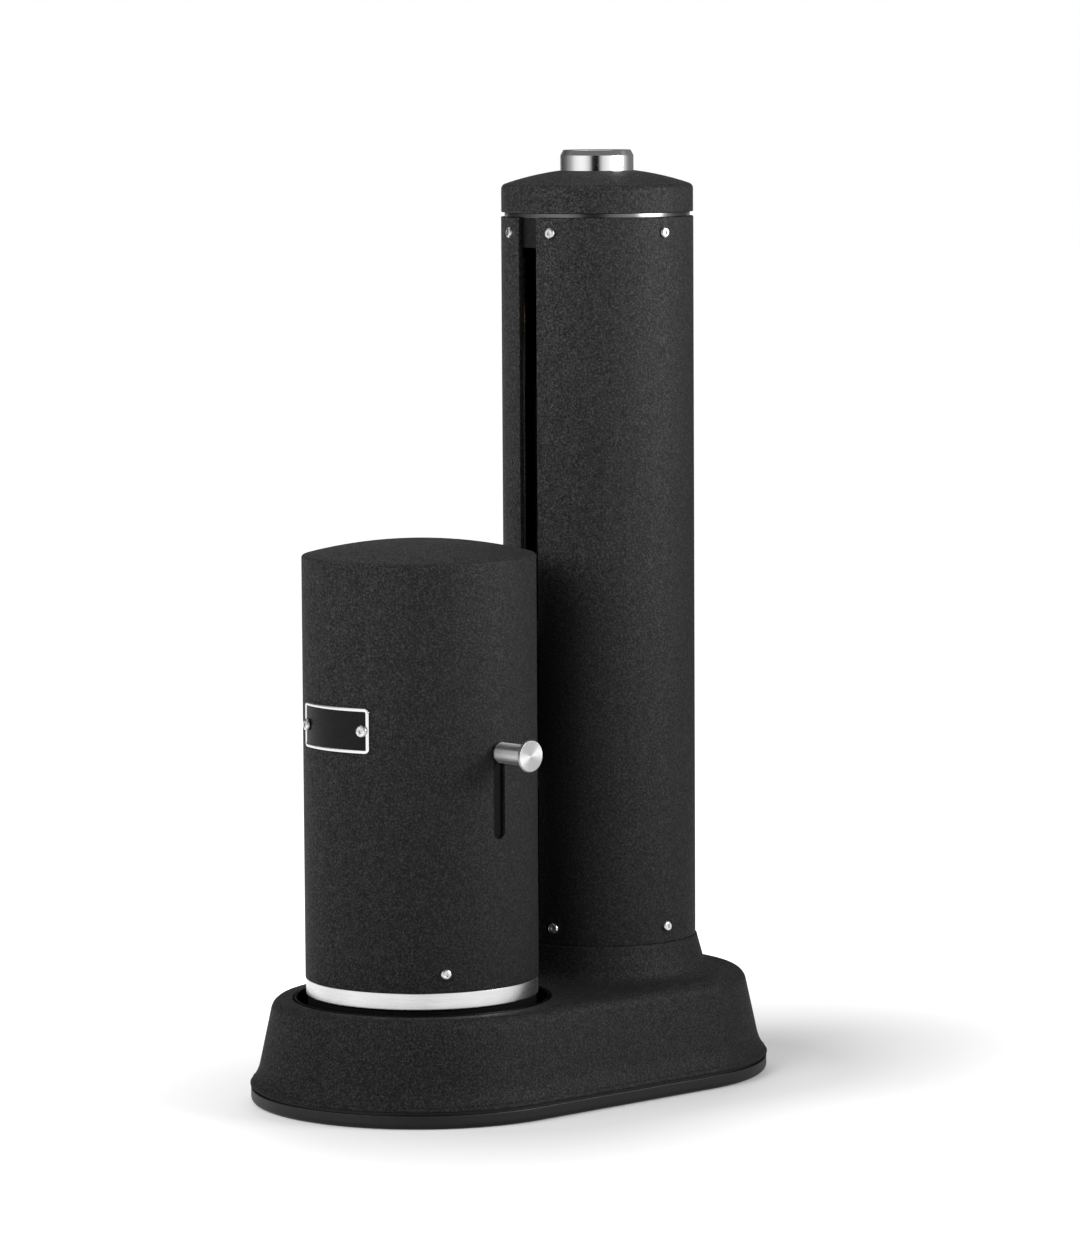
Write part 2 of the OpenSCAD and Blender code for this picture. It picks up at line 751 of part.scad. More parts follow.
// Brass insert that the gas cylinder screws into
module valve_socket() {
    color([0.78, 0.62, 0.3]) at_column() difference() {
        ring(socket_r, 0, socket_top - socket_bottom, socket_bottom);
        translate([0, 0, socket_bottom - cut])
            cylinder(r = thread_r + run, h = socket_top - socket_web - socket_bottom + cut);
        translate([0, 0, socket_bottom]) cylinder(r = pusher_r + 1.4, h = socket_top);
    }
}

// Washer that seals the valve's top in the socket
module socket_seal() {
    color([0.06, 0.06, 0.06]) at_column() ring(thread_r - gap, pusher_r + 2, seal_t, valve_top + seal_gap);
}

// Brass safety valve on the top frame
module relief_valve() {
    color([0.78, 0.62, 0.3]) at_column() radial(180, tube_top) translate([socket_boss_r + 9, 0, 0]) {
        cylinder(r = 4.2, h = 4, $fn = 6);
        translate([0, 0, 4]) cylinder(r = 3, h = 5);
    }
}

// Barbed fitting under the top frame
module top_hose_fitting() {
    color([0.78, 0.62, 0.3]) at_column() radial(hose_a1, 0) translate([hose_at, 0, 0])
        fitting_down(frame_z);
}

// A tube swept along rings, each given as [centre, one unit vector across, the other one]
module swept_tube(rings, r_out, r_in) {
    sides = 12;
    last = len(rings) - 1;
    inner = (last + 1) * sides;
    points = [for (r = [r_out, r_in], q = rings, j = [0:sides - 1])
        q[0] + r * (cos(360 * j / sides) * q[1] + sin(360 * j / sides) * q[2])];
    walls = [for (i = [0:last - 1], j = [0:sides - 1]) let (k = (j + 1) % sides, a = i * sides, b = a + sides)
        each [[a + j, a + k, b + k, b + j], [inner + a + j, inner + b + j, inner + b + k, inner + a + k]]];
    ends = [for (j = [0:sides - 1]) let (k = (j + 1) % sides, e = last * sides)
        each [[j, inner + j, inner + k, k], [e + j, e + k, inner + e + k, inner + e + j]]];
    polyhedron(points, concat(walls, ends), convexity = 10);
}

// Pressure hose from the top frame to the carriage; its loop rises as the shell lifts
module column_hose() {
    steps = 12;
    out_leg = hose_at * [sin(hose_a1), -cos(hose_a1), 0];
    in_leg = hose_at * [sin(hose_a0), -cos(hose_a0), 0];
    u = (out_leg - in_leg) / norm(out_leg - in_leg);
    b = cross(u, [0, 0, 1]);
    bend = [for (i = [0:steps]) let (t = 180 * i / steps, n = cos(t) * u - sin(t) * [0, 0, 1])
        [(out_leg + in_leg) / 2 + [0, 0, hose_low] + hose_bend_r * n, n, b]];
    color([0.2, 0.2, 0.22]) at_column() swept_tube(
        concat([[out_leg + [0, 0, hose_top], u, b]], bend, [[in_leg + [0, 0, hose_up], -u, b]]),
        hose_r, hose_bore / 2);
}

// ---------------------------------------------------------------- button

// Bush that guides the button's stem
module button_bush() {
    color([0.85, 0.85, 0.82]) at_column() difference() {
        union() {
            ring(bush_out, 0, tube_top - bush_z, bush_z);
            ring(bush_flange_r, 0, bush_flange_t, tube_top);
        }
        translate([0, 0, bush_z - 1]) cylinder(r = stem_r + run, h = frame_h + bush_flange_t + cut);
    }
}

// Spring that returns the button
module button_spring() {
    z0 = tube_top + bush_flange_t + wire_r + eps;
    z1 = button_boss_z - wire_r - eps;
    color([0.65, 0.65, 0.67]) at_column() helix(spring_r, wire_r, spring_turns, z1 - z0, z0);
}

// Steel button with a bevelled top and a flange that keeps it in the cap
module push_button() {
    inner_top = total_h - 1.5 * button_wall;
    color([0.82, 0.82, 0.84]) at_column() difference() {
        rotate_extrude() difference() {
            polygon([[0, button_z], [button_r + flange_w, button_z],
                [button_r + flange_w, button_z + button_flange_t], [button_r, button_z + button_flange_t],
                [button_r, total_h - button_bevel * 1.9], [button_r - button_bevel, total_h], [0, total_h]]);
            polygon([[button_boss_r, button_z - cut], [button_r - button_wall, button_z - cut],
                [button_r - button_wall, inner_top], [button_boss_r, inner_top]]);
        }
        translate([0, 0, button_z - 1]) cylinder(r = button_boss_r + 1, h = button_boss_z - button_z + 1);
        translate([0, 0, button_boss_z - 1]) cylinder(r = stem_r + eps, h = stem_top - button_boss_z + 1);
    }
}

// Stem that carries the button's push down to the cylinder's valve
module button_stem() {
    shoulder_z = bush_z + gap + button_travel;
    color([0.7, 0.7, 0.72]) at_column() {
        translate([0, 0, shoulder_z]) cylinder(r = stem_r, h = stem_top - shoulder_z);
        translate([0, 0, pusher_z]) cylinder(r = pusher_r, h = shoulder_z - pusher_z + 1);
    }
}

// ---------------------------------------------------------------- gas cylinder

// Section of the gas cylinder, drawn in from its outside by t
module gas_section(t) {
    r = gas_r - t;
    neck = neck_out - t;
    top = neck_top - neck_l;
    polygon(concat([[0, gas_bottom + t]],
        arc([gas_r - gas_round, gas_bottom + gas_round], gas_round - t, -90, 0),
        [for (i = [0:arc_n]) let (a = 90 * i / arc_n)
            [neck + (r - neck) * cos(a), top - shoulder_h + (shoulder_h - t) * sin(a)]],
        [[0, top - t]]));
}

// Painted steel cylinder
module gas_cylinder() {
    color([0.1, 0.1, 0.105]) at_column() difference() {
        union() {
            rotate_extrude() gas_section(0);
            ring(neck_out, 0, neck_l + 1, neck_top - neck_l - 1);
        }
        rotate_extrude() gas_section(gas_wall);
        translate([0, 0, neck_top - neck_l - shoulder_h])
            cylinder(r = valve_stub_r + eps, h = shoulder_h + neck_l + cut);
    }
}

// Brass valve of the gas cylinder
module cylinder_valve() {
    color([0.78, 0.62, 0.3]) at_column() difference() {
        union() {
            ring(valve_stub_r, 0, valve_stub_l + 1, neck_top - valve_stub_l);
            translate([0, 0, neck_top]) cylinder(r = valve_hex_r, h = valve_hex_l, $fn = 6);
            ring(thread_r, 0, valve_thread_l, neck_top + valve_hex_l);
        }
        translate([0, 0, pin_z - button_travel - gap]) cylinder(r = pin_r + run, h = pin_l + button_travel);
    }
}

// Pin that opens the valve
module valve_pin() {
    color([0.8, 0.8, 0.82]) at_column() translate([0, 0, pin_z]) cylinder(r = pin_r, h = pin_l);
}

// ---------------------------------------------------------------- front shell

// The lever's slot, as a solid to cut away
module slot_cutter(x0, l) {
    for (z = [slot_low_z, slot_top_z]) translate([x0, 0, z]) rotate([0, 90, 0]) cylinder(r = slot_r, h = l);
    translate([x0, -slot_r, slot_low_z]) cube([l, lever_slot_w, slot_top_z - slot_low_z]);
}

// Painted steel shell with a domed top
module front_shell() {
    color([0.09, 0.09, 0.095]) at_shell() difference() {
        rotate_extrude() dome_section(shell_r, shell_dome_r, shell_top, shell_bottom, shoulder);
        translate([0, 0, -1]) rotate_extrude()
            dome_section(shell_in, shell_dome_r - shell_wall, shell_top - shell_wall + 1, shell_bottom, 0);
        slot_cutter(shell_in - radial_cut / 2, radial_cut);
        for (a = [-60, 60, 180]) radial(a, shell_screw_z) translate([shell_in - 2, 0, 0])
            rotate([0, 90, 0]) cylinder(r = shank_d / 2 + run, h = 6);
        for (s = [-1, 1]) radial(s * plate_screw_a, plate_z) translate([shell_in - 2, 0, 0])
            rotate([0, 90, 0]) cylinder(r = shank_d / 2 + run, h = 6);
        for (s = [-1, 1], z = arm_screw_zs) radial(180 + s * arm_screw_angle, z)
            translate([shell_in - 2, 0, 0]) rotate([0, 90, 0])
            cylinder(r = shank_d / 2 + run, h = radial_cut);
        radial(180, port_z) translate([shell_in - 2, 0, 0]) rotate([0, 90, 0]) cylinder(r = hose_r, h = 6);
    }
}

// Bright steel band at the shell's lower edge, with a spigot inside the shell
module shell_trim_ring() {
    color([0.8, 0.8, 0.82]) at_shell() difference() {
        union() {
            ring(trim_r, trim_in, shell_bottom - trim_z, trim_z);
            ring(spigot_r, trim_in, spigot_h + 1, shell_bottom - 1);
        }
        for (a = [-60, 60, 180]) radial(a, shell_screw_z) translate([trim_in - 1, 0, 0])
            rotate([0, 90, 0]) cylinder(r = shank_d / 2 + run, h = 6);
    }
}

// Screws between the shell and its trim ring
module shell_screws() {
    color([0.75, 0.75, 0.76]) at_shell() for (a = [-60, 60, 180]) radial(a, shell_screw_z)
        button_screw(shell_r + run, shell_r - trim_in);
}

// Guard round the bottle, with ribs that guide the yoke's straps
module chamber_liner() {
    color([0.16, 0.16, 0.17]) at_shell() {
        ring(liner_out, liner_r, liner_top - liner_z, liner_z);
        ring(trim_in - 0.1, liner_out - 0.5, liner_foot_h, liner_z);
        for (m = [0, 1], s = [-1, 1]) mirror([m, 0, 0]) intersection() {
            rib_z = shell_bottom + spigot_h + 1;
            translate([liner_r, s * (strap_w / 2 + gap + rib_w / 2) - rib_w / 2, rib_z])
                cube([shell_in, rib_w, liner_top - rib_z]);
            ring(block_out, liner_out - 0.5, liner_top, 0);
        }
    }
}

// Casting that joins the shell to the column: it runs on the rods and reaches through the slot
module carriage() {
    reach = col_y + shell_y - shell_r - pad_t / 2 - carriage_out + 1;
    color([0.12, 0.12, 0.125]) difference() {
        union() {
            at_column() ring_part(carriage_out, carriage_in, carriage_l, carriage_z, 0, carriage_span);
            at_column() translate([-arm_w / 2, -carriage_out - reach + 1, arm_z])
                cube([arm_w, reach, arm_l]);
            at_shell() ring_part(shell_r + pad_t, shell_r + run, pad_l, arm_z - pad_margin, 180, pad_span);
        }
        for (s = [-1, 1]) at_column() radial(s * rod_angle, carriage_z - 1) translate([rod_at, 0, 0])
            cylinder(r = bush_r + eps, h = carriage_l + 2);
        for (s = [-1, 1], z = arm_screw_zs) at_shell() radial(180 + s * arm_screw_angle, z)
            translate([shell_r - 2, 0, 0]) rotate([0, 90, 0])
                cylinder(r = shank_d / 2 + run, h = 5 + pad_t);
        at_shell() radial(180, port_z) translate([shell_r - 2, 0, 0]) rotate([0, 90, 0])
            cylinder(r = hose_bore / 2, h = 1.2 * radial_cut);
    }
}

// Bushes in the carriage, two on each rod
module carriage_bushes() {
    color([0.75, 0.6, 0.4]) at_column() for (s = [-1, 1], z = [carriage_z, carriage_top - bush_l])
        radial(s * rod_angle, 0) translate([rod_at, 0, 0]) ring(bush_r, rod_r + run, bush_l, z);
}

// Screws from inside the shell into the carriage's pad
module arm_screws() {
    color([0.75, 0.75, 0.76]) at_shell() for (s = [-1, 1], z = arm_screw_zs)
        radial(180 + s * arm_screw_angle, z) mirror([1, 0, 0])
        button_screw(-shell_in + 3 * run, shell_wall + pad_t);
}

// Barbed fitting under the carriage
module carriage_hose_fitting() {
    color([0.78, 0.62, 0.3]) at_column() radial(hose_a0, 0)
        translate([hose_at, 0, 0]) fitting_down(carriage_z);
}

// Elbow inside the shell, where the arm's gas passage comes through
module arm_port() {
    color([0.78, 0.62, 0.3]) at_shell() radial(180, 0) {
        translate([inner_hose_at, 0, port_z - 3]) cylinder(r = hose_r, h = port_h + 3 - gap);
        translate([inner_hose_at, 0, port_z]) rotate([0, 90, 0])
            cylinder(r = hose_bore / 2 + 0.4, h = shell_r - inner_hose_at);
    }
}

// Hose that follows the nozzle down: up behind the liner, then in to the nozzle
module nozzle_hose() {
    steps = 8;
    bend_c = [inner_hose_at - inner_bend_r, 0, inner_hose_z - inner_bend_r];
    bend = [for (i = [0:steps]) let (t = 90 * i / steps, n = [cos(t), 0, sin(t)])
        [bend_c + inner_bend_r * n, n, [0, 1, 0]]];
    color([0.2, 0.2, 0.22]) at_shell() radial(180, 0) swept_tube(
        concat([[[inner_hose_at, 0, port_z + port_h], [1, 0, 0], [0, 1, 0]]], bend,
            [[[nozzle_r, 0, inner_hose_z], [0, 0, 1], [0, 1, 0]]]),
        hose_r, hose_bore / 2);
}

// ---------------------------------------------------------------- name plate

// Rounded block that reaches out through the front of the shell
module plate_block(w, h, round) {
    translate([0, 0, plate_z]) rotate([90, 0, 0]) linear_extrude(shell_r + 5) {
        square([w - 2 * round, h], center = true);
        square([w, h - 2 * round], center = true);
        for (x = [-1, 1], z = [-1, 1]) translate([x * (w / 2 - round), z * (h / 2 - round)])
            circle(r = round, $fn = 32);
    }
}

// Ring round the shell, taller than the plate
module plate_wall(t) {
    ring(shell_r + plate_seat + t, shell_r + plate_seat, 1.5 * plate_h, plate_z - 0.75 * plate_h);
}

// Bare dark plate, curved to the shell
module name_plate() {
    inset = plate_border + plate_seat;
    color([0.04, 0.04, 0.045]) at_shell() difference() {
        intersection() {
            plate_wall(plate_t);
            plate_block(plate_w - 2 * inset, plate_h - 2 * inset, plate_round / 2);
        }
        for (s = [-1, 1]) radial(s * plate_screw_a, plate_z) translate([shell_in - 2, 0, 0])
            rotate([0, 90, 0]) cylinder(r = shank_d / 2 + run, h = 6);
    }
}

// Bright frame round the plate
module plate_frame() {
    color([0.8, 0.8, 0.82]) at_shell() difference() {
        intersection() {
            plate_wall(plate_frame_t);
            plate_block(plate_w, plate_h, plate_round);
        }
        plate_block(plate_w - 2 * plate_border, plate_h - 2 * plate_border, plate_round / 2);
    }
}

// Screws of the name plate: their heads reach over the frame's border
module plate_screws() {
    seat = shell_r + 2 * plate_seat + plate_frame_t;
    color([0.8, 0.8, 0.82]) at_shell() for (s = [-1, 1]) radial(s * plate_screw_a, plate_z)
        button_screw(seat, seat - shell_in + 1, plate_head_d);
}

// ---------------------------------------------------------------- lever, yoke and nozzle

// Steel peg: a neck runs in the slot, and a threaded end holds the slider and the strap
module lever_stem() {
    color([0.82, 0.82, 0.84]) at_shell() translate([0, 0, lever_z]) rotate([0, 90, 0]) {
        translate([0, 0, peg_x]) cylinder(r = peg_r, h = head_x - groove_w - peg_x);
        translate([0, 0, peg_x + 1]) cylinder(r = peg_r * 0.8, h = head_x - peg_x - 1);
        translate([0, 0, block_in]) cylinder(r = neck_r, h = peg_x + 1 - block_in);
        translate([0, 0, strap_in]) cylinder(r = bolt_r, h = peg_x - strap_in);
    }
}

// Turned round head of the lever, conical behind its thin rim
module lever_head() {
    color([0.86, 0.86, 0.88]) at_shell() translate([head_x, 0, lever_z]) rotate([0, 90, 0]) {
        flank = lever_head_t - lever_rim - lever_chamfer;
        cylinder(r1 = peg_r, r2 = lever_head_r, h = flank);
        translate([0, 0, flank]) cylinder(r = lever_head_r, h = lever_rim);
        translate([0, 0, flank + lever_rim])
            cylinder(r1 = lever_head_r, r2 = lever_head_r - lever_chamfer, h = lever_chamfer);
    }
}

// Piece of a ring round the shell's axis, w wide, on the lever's side
module side_strip(r_out, r_in, w, h, z) {
    intersection() {
        ring(r_out, r_in, h, z);
        translate([0, -w / 2, z - 1]) cube([r_out + 1, w, h + 2]);
    }
}

// Glide that runs behind the slot
module slider_block() {
    color([0.8, 0.8, 0.78]) at_shell() difference() {
        side_strip(block_out, block_in, strap_w, block_h, lever_z - block_h / 2);
        translate([block_in - 3, 0, lever_z]) rotate([0, 90, 0]) cylinder(r = neck_r + eps, h = radial_cut);
    }
}

// Thin dark strip that keeps the slot closed as the lever moves
module slot_shutter() {
    color([0.03, 0.03, 0.03]) at_shell() difference() {
        side_strip(shutter_out, shutter_in, shutter_w, 2 * shutter_up, lever_z - shutter_up);
        translate([shutter_in - 3, 0, lever_z]) rotate([0, 90, 0])
            cylinder(r = neck_r + eps, h = radial_cut);
    }
}

// Steel yoke: two straps and the beam that carries the nozzle
module nozzle_yoke() {
    color([0.7, 0.7, 0.72]) at_shell() difference() {
        union() {
            for (m = [0, 1]) mirror([m, 0, 0])
                side_strip(strap_out, strap_in, strap_w, yoke_top - strap_bottom, strap_bottom);
            intersection() {
                translate([-strap_out, -strap_w / 2, beam_z]) cube([2 * strap_out, strap_w, beam_t]);
                ring(strap_out - strap_t / 2, 0, beam_t, beam_z);
            }
        }
        translate([strap_in - 3, 0, lever_z]) rotate([0, 90, 0]) cylinder(r = bolt_r + eps, h = radial_cut);
    }
}

// Head that spreads the gas to the tube
module nozzle_head() {
    color([0.22, 0.22, 0.24]) at_shell() difference() {
        union() {
            ring(nozzle_r, 0, nozzle_h - 3, nozzle_z);
            translate([0, 0, beam_z - 3]) cylinder(r1 = nozzle_r, r2 = nozzle_r - 3, h = 3);
        }
        translate([0, 0, nozzle_z - 1]) cylinder(r = tube_r + eps, h = nozzle_h / 2);
        translate([0, 0, inner_hose_z]) rotate([-90, 0, 0]) cylinder(r = tube_bore, h = nozzle_r + 1);
    }
}

// Rubber seal that closes the bottle's mouth
module nozzle_seal() {
    color([0.1, 0.1, 0.1]) at_shell() difference() {
        translate([0, 0, seal_z]) cylinder(r1 = seal_r - 2, r2 = seal_r, h = seal_h);
        translate([0, 0, seal_z - 1]) cylinder(r = tube_r + eps, h = seal_h + 2);
    }
}

// Steel tube that dips into the water
module nozzle_tube() {
    color([0.8, 0.8, 0.82]) at_shell()
        ring(tube_r, tube_bore, tube_l + seal_h + nozzle_h / 2 - 2, seal_z - tube_l);
}

// Fine nozzle at the tube's end
module nozzle_tip() {
    color([0.86, 0.86, 0.86]) at_shell() difference() {
        translate([0, 0, tip_z]) cylinder(r1 = tip_r - 1.2, r2 = tip_r, h = tip_h);
        translate([0, 0, tip_z - 1]) cylinder(r = tube_bore / 3, h = tip_h + 2);
    }
}

base_shell();
foot_band();
bottom_plate();
bottom_screws();
well_tray();
drip_plate();
landing_ring();
column_foot();
foot_bolts();
column_tube();
lower_column_screws();
upper_column_screws();
top_frame();
guide_rods();
rod_stops();
cap_ring();
column_cap();
cap_screws();
valve_socket();
socket_seal();
relief_valve();
top_hose_fitting();
column_hose();
button_bush();
button_spring();
push_button();
button_stem();
gas_cylinder();
cylinder_valve();
valve_pin();
front_shell();
shell_trim_ring();
shell_screws();
chamber_liner();
carriage();
carriage_bushes();
arm_screws();
carriage_hose_fitting();
arm_port();
nozzle_hose();
name_plate();
plate_frame();
plate_screws();
lever_stem();
lever_head();
slider_block();
slot_shutter();
nozzle_yoke();
nozzle_head();
nozzle_seal();
nozzle_tube();
nozzle_tip();
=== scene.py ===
# %% [markdown]
# # Countertop water carbonator
# A base with a round well carries a tall slotted column. A shorter shell with a side lever rides up that column.
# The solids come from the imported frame. Here finer surfaces are laid over the solids that show, every piece gets
# a procedural finish, and a small studio is set up round it.
# The shape functions work in millimetres, because that is how the object is drawn. The scene is in metres.

# %% Load the frame
import json
import math
import bpy
import bmesh
import numpy as np
from mathutils import Matrix, Vector


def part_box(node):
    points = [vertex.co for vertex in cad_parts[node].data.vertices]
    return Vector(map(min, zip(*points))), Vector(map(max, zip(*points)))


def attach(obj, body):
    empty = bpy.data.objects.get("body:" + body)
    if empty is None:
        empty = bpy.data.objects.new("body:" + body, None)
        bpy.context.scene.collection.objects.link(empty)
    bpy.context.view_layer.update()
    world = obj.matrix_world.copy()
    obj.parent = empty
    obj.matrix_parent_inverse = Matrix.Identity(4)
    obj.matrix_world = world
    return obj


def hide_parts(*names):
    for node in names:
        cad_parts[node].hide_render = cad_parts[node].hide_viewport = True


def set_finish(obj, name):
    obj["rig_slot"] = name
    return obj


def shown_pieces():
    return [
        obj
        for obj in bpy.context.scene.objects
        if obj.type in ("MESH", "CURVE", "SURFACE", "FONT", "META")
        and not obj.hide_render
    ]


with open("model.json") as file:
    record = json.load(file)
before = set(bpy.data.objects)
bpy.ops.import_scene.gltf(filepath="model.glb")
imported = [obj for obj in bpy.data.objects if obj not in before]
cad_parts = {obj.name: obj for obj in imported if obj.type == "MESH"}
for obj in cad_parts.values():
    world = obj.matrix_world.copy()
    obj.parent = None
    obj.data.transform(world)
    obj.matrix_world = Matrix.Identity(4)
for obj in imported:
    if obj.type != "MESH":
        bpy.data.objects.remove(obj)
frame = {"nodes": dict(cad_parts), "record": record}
nodes = frame["nodes"]
scene = bpy.context.scene
MM = 0.001


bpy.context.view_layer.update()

# %% [markdown]
# ## Main measures
# Every surface is built round the same few numbers: the axes of shell and column, and the boxes of the CAD nodes.
# Reading the boxes keeps the surfaces on the frame if the frame is ever packed again with other sizes.

# %% Main measures
SHELL_Y, COLUMN_Y = -53.4, 54.5
BASE_H = 45.5


def box(name):
    """Lowest and highest corner of a CAD node, in millimetres."""
    lo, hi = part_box(name)
    return np.array(lo) / MM, np.array(hi) / MM


base_lo, base_hi = box("base_shell")
tube_lo, tube_hi = box("column_tube")
shell_lo, shell_hi = box("front_shell")
BASE_R = base_hi[0]
END_Y = base_hi[1] - BASE_R
COLUMN_R = tube_hi[0]
SHELL_R = shell_hi[0]
print("base radius", BASE_R, "column radius", COLUMN_R, "shell radius", SHELL_R)

# %% [markdown]
# ## Outlines
# Almost every piece of this object is turned or swept, so it starts as an outline. A real edge is never quite
# sharp: each corner gets an arc, and a guard point a little outside it keeps the flat next to it flat in shading.

# %% Rounded outline


def rounded(corners, steps=6, guard=0.4, closed=True):
    """Outline through corners (a, b, radius): each corner becomes the arc that touches both its sides.

    The arc's centre lies on the bisector at radius / sin(half the corner's angle).
    """
    points = []
    count = len(corners)
    for i, (x, y, radius) in enumerate(corners):
        tip = np.array((x, y), float)
        if radius <= 0 or (not closed and i in (0, count - 1)):
            points.append(tip)
            continue
        back = np.array(corners[i - 1][:2]) - tip
        ahead = np.array(corners[(i + 1) % count][:2]) - tip
        back_l, ahead_l = np.linalg.norm(back), np.linalg.norm(ahead)
        back, ahead = back / back_l, ahead / ahead_l
        half = math.acos(np.clip(back @ ahead, -1, 1)) / 2
        reach = radius / math.tan(half)
        centre = tip + (back + ahead) / np.linalg.norm(back + ahead) * radius / math.sin(half)
        start, end = tip + back * reach, tip + ahead * reach
        angle0 = math.atan2(*(start - centre)[::-1])
        turn = (math.atan2(*(end - centre)[::-1]) - angle0 + math.pi) % (2 * math.pi) - math.pi
        points.append(start + back * min(guard, 0.3 * max(back_l - reach, 0)))
        for k in range(steps + 1):
            angle = angle0 + turn * k / steps
            points.append(centre + radius * np.array((math.cos(angle), math.sin(angle))))
        points.append(end + ahead * min(guard, 0.3 * max(ahead_l - reach, 0)))
    return np.array(points)


def dome(r0, r1, apex, big, count=24):
    """Corners (r, z, 0) on a sphere of radius big with its top at apex: z = apex - big + sqrt(big^2 - r^2)."""
    return [(r, apex - big + math.sqrt(big * big - r * r), 0) for r in np.linspace(r0, r1, count)]


def arc_points(centre, radius, deg0, deg1, count):
    """Points on a circle: centre + radius (cos a, sin a) for angles from deg0 to deg1."""
    a = np.radians(np.linspace(deg0, deg1, count))
    return np.stack([centre[0] + radius * np.cos(a), centre[1] + radius * np.sin(a)], -1)


print("a rounded square has", len(rounded([(0, 0, 1), (9, 0, 1), (9, 9, 1), (0, 9, 1)])), "points")

# %% [markdown]
# ## Grids
# A surface is a grid of points with two parameters. The same rule always joins the grid into four-sided faces,
# and wrapping a direction closes the seam without a doubled row.

# %% Grids and turned surfaces


def grid_faces(rows, columns, wrap_rows=False, wrap_columns=False):
    """Quads of a grid: face (i, j) joins points (i, j), (i+1, j), (i+1, j+1) and (i, j+1)."""
    i = np.arange(rows if wrap_rows else rows - 1)[:, None]
    j = np.arange(columns if wrap_columns else columns - 1)[None, :]
    i2, j2 = (i + 1) % rows, (j + 1) % columns
    quads = np.stack([i * columns + j, i2 * columns + j, i2 * columns + j2, i * columns + j2], -1)
    return quads.reshape(-1, 4)


def revolve(section, centre=(0, 0), turns=192, axis="z"):
    """Turned surface: (r, h) becomes (r sin t, -r cos t, h) about Z, or (h, r cos t, r sin t) about X."""
    t = 2 * math.pi * np.arange(turns)[:, None] / turns
    r = section[None, :, 0]
    h = np.broadcast_to(section[None, :, 1], (turns, len(section)))
    if axis == "z":
        points = np.stack([centre[0] + r * np.sin(t), centre[1] - r * np.cos(t), h], -1)
    else:
        points = np.stack([h, centre[0] + r * np.cos(t), centre[1] + r * np.sin(t)], -1)
    return points.reshape(-1, 3), grid_faces(turns, len(section), True, True)


def join(*parts):
    """Several (points, faces) as one, each part's faces counted on from the points before it."""
    points, faces, count = [], [], 0
    for part_points, part_faces in parts:
        points.append(part_points)
        faces += [[int(q) + count for q in face] for face in part_faces]
        count += len(part_points)
    return np.concatenate(points), faces


print("a turned ring has", len(revolve(rounded([(8, 0, 1), (9, 0, 1), (9, 5, 1), (8, 5, 1)]))[1]), "faces")

# %% [markdown]
# ## From arrays to pieces
# One function turns points and faces into a piece: it closes seams and poles by merging doubles, points the faces
# outwards, shades it smooth except at real edges, and can add a wall or a small bevel. The piece then rides on its
# body, hides the CAD nodes that it stands for and takes the name of its material's slot.

# %% Making a piece
BEVEL_OVER = 50


def make(name, part, body, replaces, slot, angle=32, recalculate=True, bevel=0.0, wall=0.0):
    """A piece of the visual model from (points in mm, faces). Edges sharper than angle stay sharp."""
    points, faces = part
    mesh = bpy.data.meshes.new(name)
    mesh.from_pydata((np.asarray(points) * MM).tolist(), [], [list(map(int, face)) for face in faces])
    bm = bmesh.new()
    bm.from_mesh(mesh)
    bmesh.ops.remove_doubles(bm, verts=bm.verts, dist=1e-6)
    bmesh.ops.delete(bm, geom=[e for e in bm.edges if not e.link_faces], context="EDGES")
    if recalculate:
        bmesh.ops.recalc_face_normals(bm, faces=bm.faces)
    bm.to_mesh(mesh)
    bm.free()
    mesh.shade_smooth()
    mesh.set_sharp_from_angle(angle=math.radians(angle))
    obj = bpy.data.objects.new(name, mesh)
    scene.collection.objects.link(obj)
    if wall:
        solid = obj.modifiers.new("wall", "SOLIDIFY")
        solid.thickness, solid.offset, solid.use_rim = wall * MM, -1, True
    if bevel:
        edges = obj.modifiers.new("edges", "BEVEL")
        edges.width, edges.segments, edges.limit_method = bevel * MM, 3, "ANGLE"
        edges.angle_limit, edges.harden_normals = math.radians(BEVEL_OVER), True
    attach(obj, body)
    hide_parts(*replaces)
    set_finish(obj, slot)
    print(name, len(mesh.vertices), "points")


# %% [markdown]
# ## Base casting
# The real base is one thin casting with a leaning skirt that flares out at the foot. Its plan is a stadium: two
# half circles joined by straight sides. The skirt is worked out first, as one outline from the top's edge down to
# the foot: an edge arc, a straight lean, a hollow flare that is tangent to the lean, and a small lip.

# %% Skirt outline
EDGE_R = 6.0
top_corner = np.array((BASE_R - 10.5, BASE_H))
flare_start = np.array((BASE_R - 4.45, 17.0))
lean = math.atan2(flare_start[0] - top_corner[0], top_corner[1] - flare_start[1])
lean_out = np.array((math.cos(lean), math.sin(lean)))
edge_centre = np.array((top_corner[0] - EDGE_R * (1 - math.sin(lean)) / math.cos(lean), BASE_H - EDGE_R))
lean_start = edge_centre + EDGE_R * lean_out
foot_h = base_lo[2]
flare_end = np.array((BASE_R, foot_h + 0.9))
chord = flare_end - flare_start
flare_r = (chord @ chord) / (2 * chord @ lean_out)
flare_centre = flare_start + flare_r * lean_out
lean_deg = math.degrees(lean)
flare_deg = 360 + math.degrees(math.atan2(*(flare_end - flare_centre)[::-1]))
skirt = np.concatenate([
    arc_points(edge_centre, EDGE_R, 90, lean_deg, 12),
    [lean_start + (flare_start - lean_start) * k for k in (0.03, 0.5, 0.97)],
    arc_points(flare_centre, flare_r, 180 + lean_deg, flare_deg, 9),
    [(BASE_R, foot_h + 0.45), (BASE_R - 0.25, foot_h + 0.08), (BASE_R - 0.7, foot_h), (BASE_R - 4.5, foot_h)],
])
print("skirt leans", round(lean_deg, 1), "degrees, flare radius", round(flare_r, 1))

